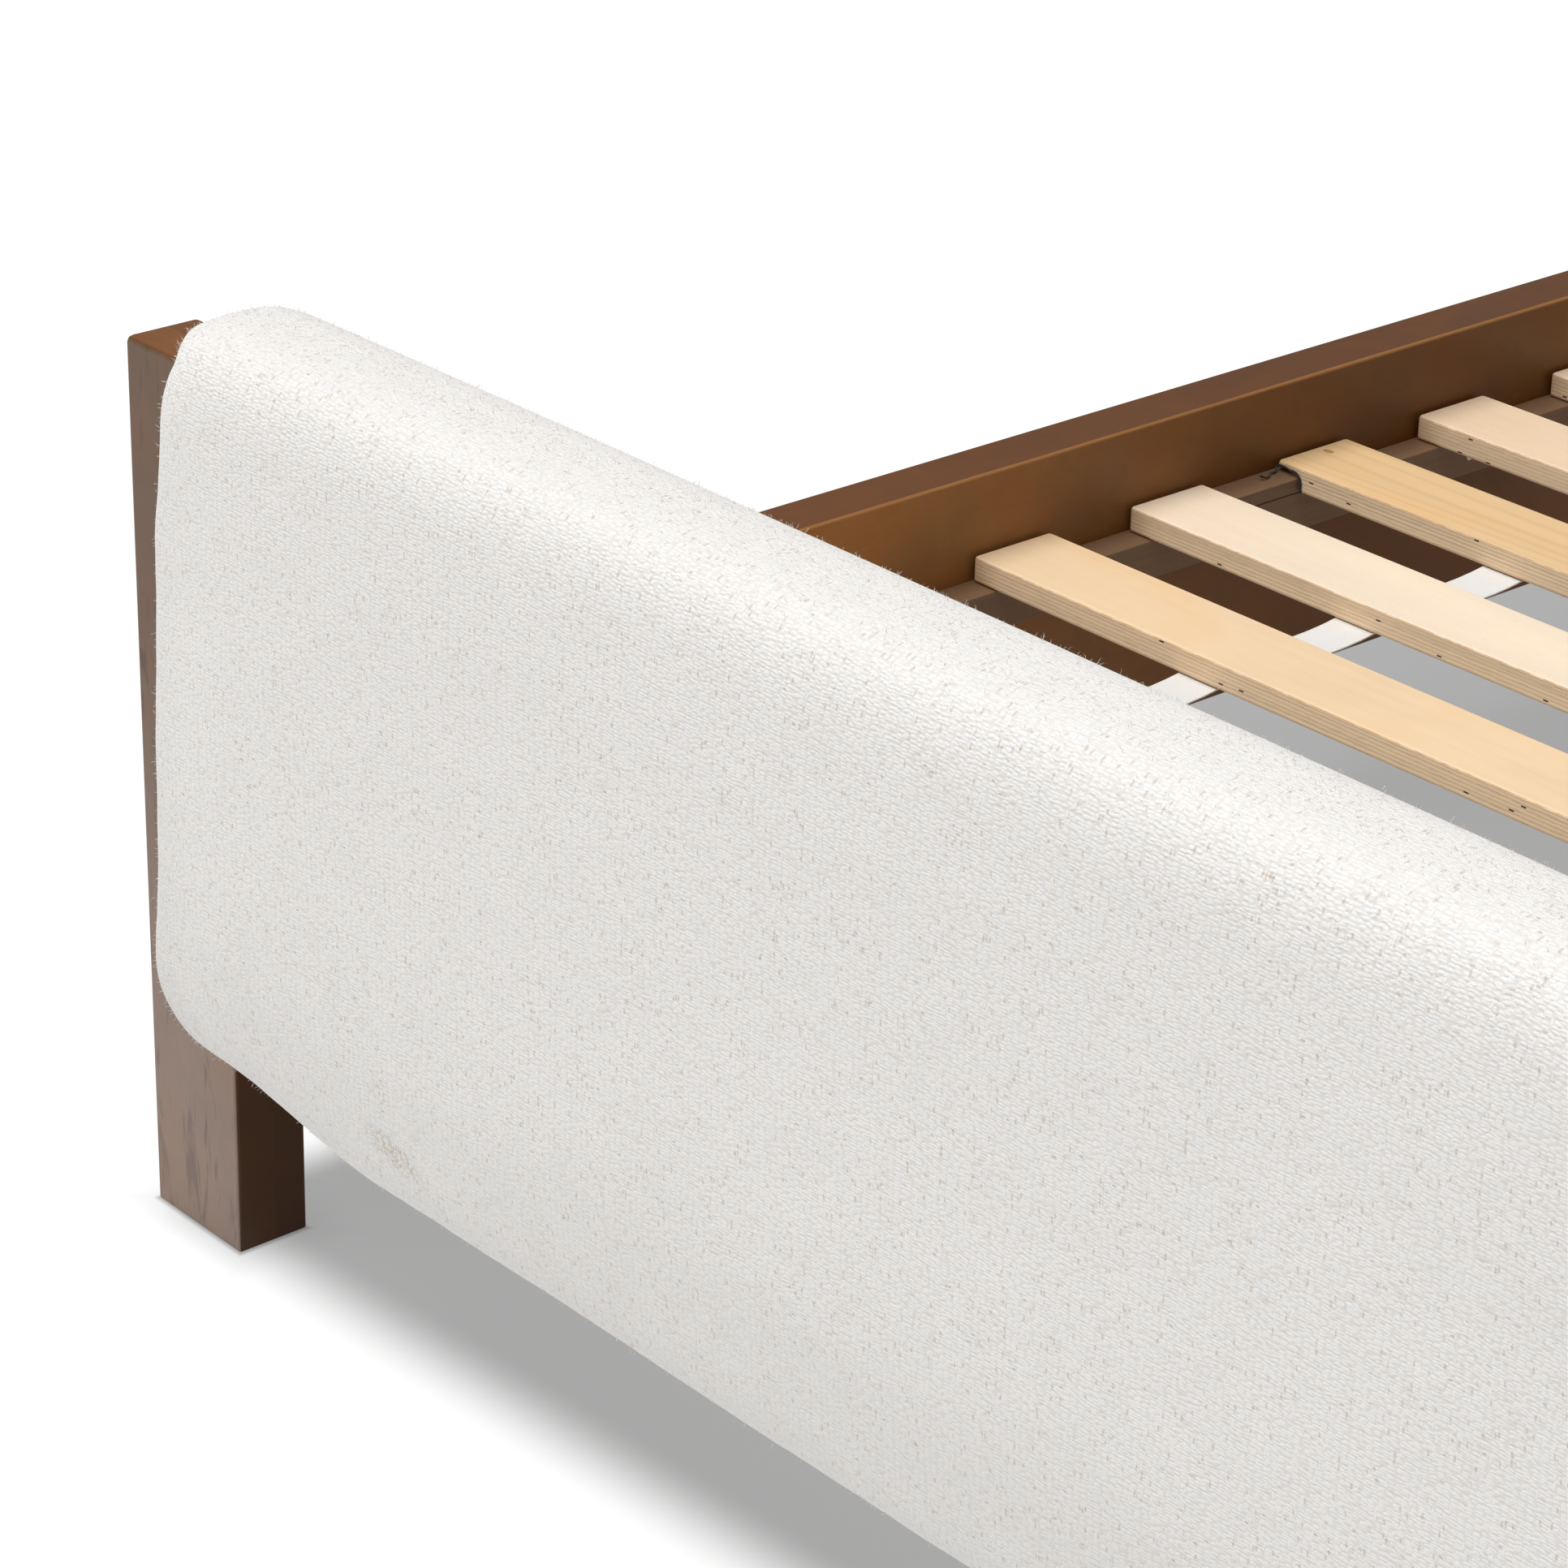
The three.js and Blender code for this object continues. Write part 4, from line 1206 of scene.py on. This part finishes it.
class PadOutline:
    """The pad's front view, a rectangle with round corners, and the roll from its front to its rim."""

    def __init__(self, front, low, high):
        self.front = front
        self.low = low
        self.high = high

    def inward(self, x, z):
        """Distance in from the outline, and the outward direction, at points of the front view."""
        middle = (self.low + self.high) / 2
        half = (self.high - self.low) / 2
        corner = np.where(z > middle, TOP_CORNER, LOW_CORNER)
        qx = np.abs(x) - (PAD_HALF - corner)
        qz = np.abs(z - middle) - (half - corner)
        reach = np.hypot(np.maximum(qx, 0), np.maximum(qz, 0))
        inside = corner - reach - np.minimum(np.maximum(qx, qz), 0)
        both = (qx > 0) & (qz > 0)
        gx = np.where(both, qx / np.maximum(reach, 1e-9), np.where(qx > qz, 1.0, 0.0)) * np.sign(x)
        gz = np.where(both, qz / np.maximum(reach, 1e-9), np.where(qx > qz, 0.0, 1.0)) * np.sign(z - middle)
        return inside, gx, gz

    def roll(self, gz):
        """The roll's radius for an outward direction: wide at the top, closer at the sides and below."""
        return np.where(
            gz > 0, ROLL_SIDE + (ROLL_TOP - ROLL_SIDE) * np.clip(gz, 0, 1) ** 1.5,
            ROLL_SIDE + (ROLL_BOTTOM - ROLL_SIDE) * np.clip(-gz, 0, 1) ** 1.5)

    def weave(self, points):
        """Where each point lies on the flat cloth, so the yarns run round the roll without a break."""
        x, y, z = points.T
        inside, gx, gz = self.inward(x, z)
        radius = self.roll(gz)
        angle = np.arctan2(np.maximum(radius - inside, 0), self.front + radius - y)
        angle = np.where(inside < radius, angle, 0)
        past = np.maximum(y - (self.front + radius), 0)
        top = np.clip(gz, 0, 1)
        run = np.where(y > self.front + radius, top * radius * angle + (1 - top) * (
            radius * math.pi / 2 + past), radius * angle)
        run = np.where(inside < radius, run, 0)
        base = np.maximum(radius - inside, 0)
        return np.stack([x - gx * base + gx * run, z - gz * base + gz * run, y * 0], 1)


def held_points(piece, wanted):
    group = piece.vertex_groups.new(name="held")
    chosen = [v.index for v in piece.data.vertices if wanted(v.co)]
    group.add(chosen, 1.0, "REPLACE")
    return group.name


def blow_up(piece, held, most, share):
    """Blows the cover up like a tight cushion. The foam behind spreads the swell and stops the slipping.

    Share is how much of the swell each point keeps.
    """
    rest = coordinates(piece.data)
    ways = outward_ways(piece.data)
    cloth = piece.modifiers.new("cover", "CLOTH")
    cloth.settings.quality = 4
    cloth.settings.mass = 0.3
    cloth.settings.tension_stiffness = 12
    cloth.settings.compression_stiffness = 12
    cloth.settings.shear_stiffness = 5
    cloth.settings.bending_stiffness = 1.5
    cloth.settings.use_pressure = True
    cloth.settings.uniform_pressure_force = 4
    cloth.settings.effector_weights.gravity = 0
    cloth.settings.vertex_group_mass = held
    cloth.collision_settings.use_collision = False
    cloth.point_cache.frame_start = 1
    cloth.point_cache.frame_end = 20
    for step in range(1, 21):
        scene.frame_set(step)
    alone(piece)
    bpy.ops.object.modifier_apply(modifier=cloth.name)
    moved = coordinates(piece.data) - rest
    outward = (moved * ways).sum(1, keepdims=True)
    along = moved - outward * ways
    swell = most * np.tanh(np.maximum(outward, 0) / most)
    joins = np.zeros(len(piece.data.edges) * 2, dtype=int)
    piece.data.edges.foreach_get("vertices", joins)
    one, other = joins.reshape(-1, 2).T
    count = np.bincount(joins, minlength=len(rest))[:, None]
    shift = ways * swell + SLIP * along
    for _ in range(24):
        total = np.zeros_like(shift)
        np.add.at(total, one, shift[other])
        np.add.at(total, other, shift[one])
        shift = 0.5 * shift + 0.5 * total / count
    set_coordinates(piece.data, rest + shift * share[:, None])
    scene.frame_set(1)


def pad(end, fill_out, low, high, voxel):
    """A thick padded panel: rolled top edge, softer sides, crowned front, flat back."""
    cad_low, cad_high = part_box(f"{end}board_cushion")
    front = cad_low.y + fill_out
    back = cad_high.y - 1.5 * MM
    piece = cube(f"{end}board_pad", (-PAD_HALF, front, low), (PAD_HALF, back, high))
    pick(piece, "EDGE", lambda middle, run: abs(run.y) > 0.5 and middle.z > high - MM)
    bpy.ops.mesh.bevel(offset=TOP_CORNER, segments=16, profile=0.5)
    leave_edit()
    pick(piece, "EDGE", lambda middle, run: abs(run.y) > 0.5 and middle.z < low + MM)
    bpy.ops.mesh.bevel(offset=LOW_CORNER, segments=8, profile=0.5)
    leave_edit()

    # The rim is rolled by a bevel whose width changes round it
    outline = PadOutline(front, low, high)

    def rim_width(middle, run):
        if abs(run.y) > 0.5:
            return 0
        _, gx, gz = outline.inward(np.array([middle.x]), np.array([middle.z]))
        if middle.y < (front + back) / 2:
            return float(outline.roll(gz)[0])
        return 9 * MM + 47 * MM * max(float(gz[0]), 0) ** 2

    ease_edges(piece, ROLL_TOP, rim_width, 8)
    modify(piece, "REMESH", mode="VOXEL", voxel_size=voxel)
    pick(piece, "VERT", lambda where, normal: where.y < back - 2 * MM)
    bpy.ops.mesh.vertices_smooth(factor=0.5, repeat=6)
    leave_edit()

    most = fill_out * 0.7
    points = coordinates(piece.data)
    inside, _, _ = outline.inward(points[:, 0], points[:, 2])
    share = np.clip(inside / (90 * MM), 0, 1) ** 0.7 * (points[:, 1] < front + 60 * MM)
    held = held_points(piece, lambda where: where.y > back - 34 * MM and where.z < high - 60 * MM
                       or where.y > back - 3 * MM)
    blow_up(piece, held, most, share)
    modify(piece, "SUBSURF", levels=1, render_levels=1)
    settle(piece, outline, back, high)
    attribute = piece.data.attributes.new("weave", "FLOAT_VECTOR", "POINT")
    attribute.data.foreach_set("vector", outline.weave(coordinates(piece.data)).astype(np.float32).ravel())
    alone(piece)
    bpy.ops.object.shade_smooth()
    return piece


def settle(piece, outline, back, high):
    """Soft waves where the foam gives, and the ends kept clear of the posts."""
    points = coordinates(piece.data)
    normals = outward_ways(piece.data)
    give = np.array([
        1.1 * noise.noise(Vector((7 * p[0], 3.1, 8 * p[2]))) + 0.5 * noise.noise(Vector((19 * p[0], 7 * p[1], 23 * p[2])))
        + 0.22 * noise.noise(Vector((75 * p[0], 70 * p[1], 85 * p[2]))) for p in points])
    free = np.clip((back - 12 * MM - points[:, 1]) / (25 * MM), 0, 1)
    points += normals * (give * free * MM)[:, None]
    out = np.clip(np.abs(points[:, 0]) / PAD_HALF, 0, 1)
    up = np.clip((points[:, 2] - outline.low) / (high - outline.low), 0, 1)
    points[:, 2] -= CROWN * out ** 3 * up
    near_top = np.clip((points[:, 2] - (high - PULL_FROM)) / PULL_FROM, 0, 1)
    near_side = np.clip((np.abs(points[:, 0]) - 500 * MM) / (200 * MM), 0, 1)
    below_top = high - points[:, 2]
    ease = SIDE_EASE * rise(-below_top, -430 * MM, -330 * MM) + SIDE_LEAN * rise(-below_top, -388 * MM, -148 * MM)
    ease += CORNER_PULL * rise(-below_top, -138 * MM, -68 * MM)
    ease *= 1 - rise(-below_top, -32 * MM, 0)
    points[:, 0] -= np.sign(points[:, 0]) * (PULL_IN * near_top ** 2 + ease) * near_side
    forward = rise(-below_top, -55 * MM, -12 * MM) * rise(points[:, 1], outline.front + 35 * MM, back - 20 * MM)
    points[:, 1] -= TOP_LEAN * forward
    above_low = points[:, 2] - outline.low
    points[:, 2] += END_LIFT * rise(np.abs(points[:, 0]), 500 * MM, 650 * MM) * (1 - rise(above_low, 0, 120 * MM))
    points[:, 0] = np.clip(points[:, 0], -PAD_HALF - 0.3 * MM, PAD_HALF + 0.3 * MM)
    points[:, 1] = np.minimum(points[:, 1], back + 0.2 * MM)
    points[:, 2] = np.minimum(points[:, 2], high + 4.5 * MM)
    set_coordinates(piece.data, points)


def fuzz(name, piece, count, seed):
    """Loose fibres that stand out of the boucle: closed three-sided slivers, bent at the middle."""
    chance = np.random.default_rng(seed)
    points = coordinates(piece.data)
    normals = outward_ways(piece.data)
    back = points[:, 1].max()
    weight = np.where(np.abs(normals[:, 1]) < 0.9, 1.0, 0.22) * (points[:, 1] < back - 8 * MM)
    chosen = chance.choice(len(points), count, p=weight / weight.sum())
    root = points[chosen] + chance.normal(0, 1.6 * MM, (count, 3)) * (1 - np.abs(normals[chosen]))
    outward = normals[chosen]
    lean = chance.normal(0, 1, (count, 3))
    lean -= outward * (lean * outward).sum(1, keepdims=True)
    lean /= np.linalg.norm(lean, axis=1, keepdims=True)
    side = np.cross(outward, lean)
    length = (1.1 + 3.0 * chance.random((count, 1)) ** 2) * MM
    height = length * (0.35 + 0.65 * chance.random((count, 1)))
    middle = root + outward * height * 0.75 + lean * length * 0.35
    tip = root + outward * height + lean * length * (0.4 + 0.9 * chance.random((count, 1)))
    base = root - outward * 0.4 * MM
    thick = (0.08 + 0.07 * chance.random((count, 1))) * MM
    corners = [lean * thick, (-0.5 * lean + 0.87 * side) * thick, (-0.5 * lean - 0.87 * side) * thick]
    rings = [base + corner for corner in corners] + [middle + 0.8 * corner for corner in corners] + [tip]
    vertices = np.stack(rings, 1).reshape(-1, 3)
    sliver = [(0, 2, 1), (0, 1, 4, 3), (1, 2, 5, 4), (2, 0, 3, 5), (3, 4, 6), (4, 5, 6), (5, 3, 6)]
    faces = [tuple(index + 7 * number for index in face) for number in range(count) for face in sliver]
    mesh = bpy.data.meshes.new(name)
    mesh.from_pydata(vertices.tolist(), [], faces)
    mesh.update()
    made = bpy.data.objects.new(name, mesh)
    scene.collection.objects.link(made)
    alone(made)
    bpy.ops.object.shade_smooth()
    return made


def back_cloth(end):
    """Black cloth over the panel's back: round top corners and a turned hem."""
    node = f"{end}board_back_cloth"
    low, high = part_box(node)
    piece = cube(f"{node}_sheet", (low.x, high.y - 0.9 * MM, low.z), (high.x, high.y - 0.35 * MM, high.z))
    pick(piece, "EDGE", lambda middle, run: abs(run.y) > 0.5 and middle.z > high.z - MM)
    bpy.ops.mesh.bevel(offset=80 * MM, segments=10, profile=0.5)
    leave_edit()
    pick(piece, "EDGE", lambda middle, run: abs(run.y) > 0.5 and middle.z < low.z + MM)
    bpy.ops.mesh.bevel(offset=20 * MM, segments=5, profile=0.5)
    leave_edit()
    pick(piece, "FACE", lambda middle, normal: normal.y > 0.9)
    bpy.ops.mesh.inset(thickness=12 * MM, depth=0)
    bpy.ops.mesh.inset(thickness=0.8 * MM, depth=-0.5 * MM)
    leave_edit()
    modify(piece, "BEVEL", width=0.2 * MM, segments=1, limit_method="ANGLE", angle_limit=math.radians(70))
    smooth(piece, 30)
    hand_in(piece, DUST_CLOTH, "dust_cloth", node)
    return piece


def cloth_staples(end):
    """Staples along the hem of the back cloth."""
    low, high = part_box(f"{end}board_back_cloth")
    edge = 6 * MM
    upright = Matrix.Rotation(math.pi / 2, 4, "X")
    places = []
    across = np.linspace(low.x + 90 * MM, high.x - 90 * MM, 29)
    for number, x in enumerate(across):
        for z in (low.z + edge, high.z - edge):
            lean = math.radians((number * 37) % 19 - 9)
            places.append(
                Matrix.Translation((x, high.y + 0.05 * MM, z)) @ Matrix.Rotation(lean, 4, "Y") @ upright)
    for number, z in enumerate(np.linspace(low.z + 50 * MM, high.z - 95 * MM, 7)):
        for x in (low.x + edge, high.x - edge):
            lean = math.radians(90 + (number * 29) % 15 - 7)
            places.append(
                Matrix.Translation((x, high.y + 0.05 * MM, z)) @ Matrix.Rotation(lean, 4, "Y") @ upright)
    piece = copies(f"{end}board_cloth_staples", staple_pattern(), places)
    smooth(piece, 50)
    hand_in(piece, ZINC, "zinc_plated_steel")


def upholster(end, fill_out, low, high, voxel, fibres):
    piece = pad(end, fill_out, low, high, voxel)
    made = fuzz(f"{end}board_pad_fibres", piece, fibres, 7)
    hand_in(piece, BOUCLE, "boucle_fabric", f"{end}board_cushion")
    hand_in(made, FIBRE, "boucle_fabric")
    back_cloth(end)
    cloth_staples(end)
    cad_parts[f"{end}board_plywood_core"].data.materials.clear()
    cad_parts[f"{end}board_plywood_core"].data.materials.append(PINE_CORE)


upholster("foot", 7 * MM, 0.163, 0.6275, 9 * MM, 14000)
upholster("head", 7 * MM, 0.313, 1.1710, 11 * MM, 14000)


# ---- Lights and floor ----
def light_the_studio():
    world = bpy.data.worlds.new("studio")
    scene.world = world
    world.use_nodes = True
    tree = world.node_tree
    back = tree.nodes["Background"]
    back.inputs["Color"].default_value = (1, 1, 1, 1)
    ray = tree.nodes.new("ShaderNodeLightPath")
    strength = tree.nodes.new("ShaderNodeMapRange")
    strength.inputs["To Min"].default_value = SKY
    strength.inputs["To Max"].default_value = 1.0
    tree.links.new(ray.outputs["Is Camera Ray"], strength.inputs["Value"])
    tree.links.new(strength.outputs["Result"], back.inputs["Strength"])
    lamp = bpy.data.lights.new("overhead_softbox", "SUN")
    lamp.energy = OVERHEAD
    lamp.angle = math.radians(50)
    sun = bpy.data.objects.new("overhead_softbox", lamp)
    scene.collection.objects.link(sun)
    towards = Vector((-0.14, -0.27, 1)).normalized()
    sun.matrix_world = towards.to_track_quat("Z", "Y").to_matrix().to_4x4()


SKY = 0.30
OVERHEAD = 2.85
light_the_studio()


def lay_floor():
    """A white floor with a soft grey shadow under the bed."""
    bpy.ops.mesh.primitive_plane_add(size=60, location=(0, 0, -0.4 * MM))
    floor = name_piece("studio_floor")
    f = Finish("pale_floor", Roughness=1, Specular_IOR_Level=0, Base_Color=(0.07, 0.07, 0.07, 1), Emission_Strength=1)
    x, y, z = f.axes(f.place())
    foot = f.ramp(y - 0.05 * x, -1.063, -0.990)
    head = f.ramp(y, 1.155, 1.075)
    wide = 0.26 * f.ramp(y, -0.86, -0.80)
    sides = f.ramp(f.size(x) - wide, 0.826, 0.770)
    shade = foot * head * sides
    glow = f.mix(shade, (0.98, 0.98, 0.98, 1), (0.357, 0.357, 0.357, 1))
    # Painted contact shadows round the foot of each post: a soft wide one and a thin dark line
    for post_middle in (FOOT_FRONT + 25 * MM, HEAD_FRONT + 25 * MM):
        away = f.node("ShaderNodeMath", {"operation": "MAXIMUM"}, {
            0: f.size(f.size(x) - 770 * MM) - 44 * MM, 1: f.size(y - post_middle) - 25 * MM})
        glow = f.mix(f.ramp(away, 34 * MM, -6 * MM) * 0.16, glow, (0.2, 0.2, 0.2, 1))
        glow = f.mix(f.ramp(away, 3.5 * MM, -1 * MM) * 0.55, glow, (0.10, 0.09, 0.085, 1))
    f.surface(Emission_Color=glow)
    floor.data.materials.append(f.material)


lay_floor()
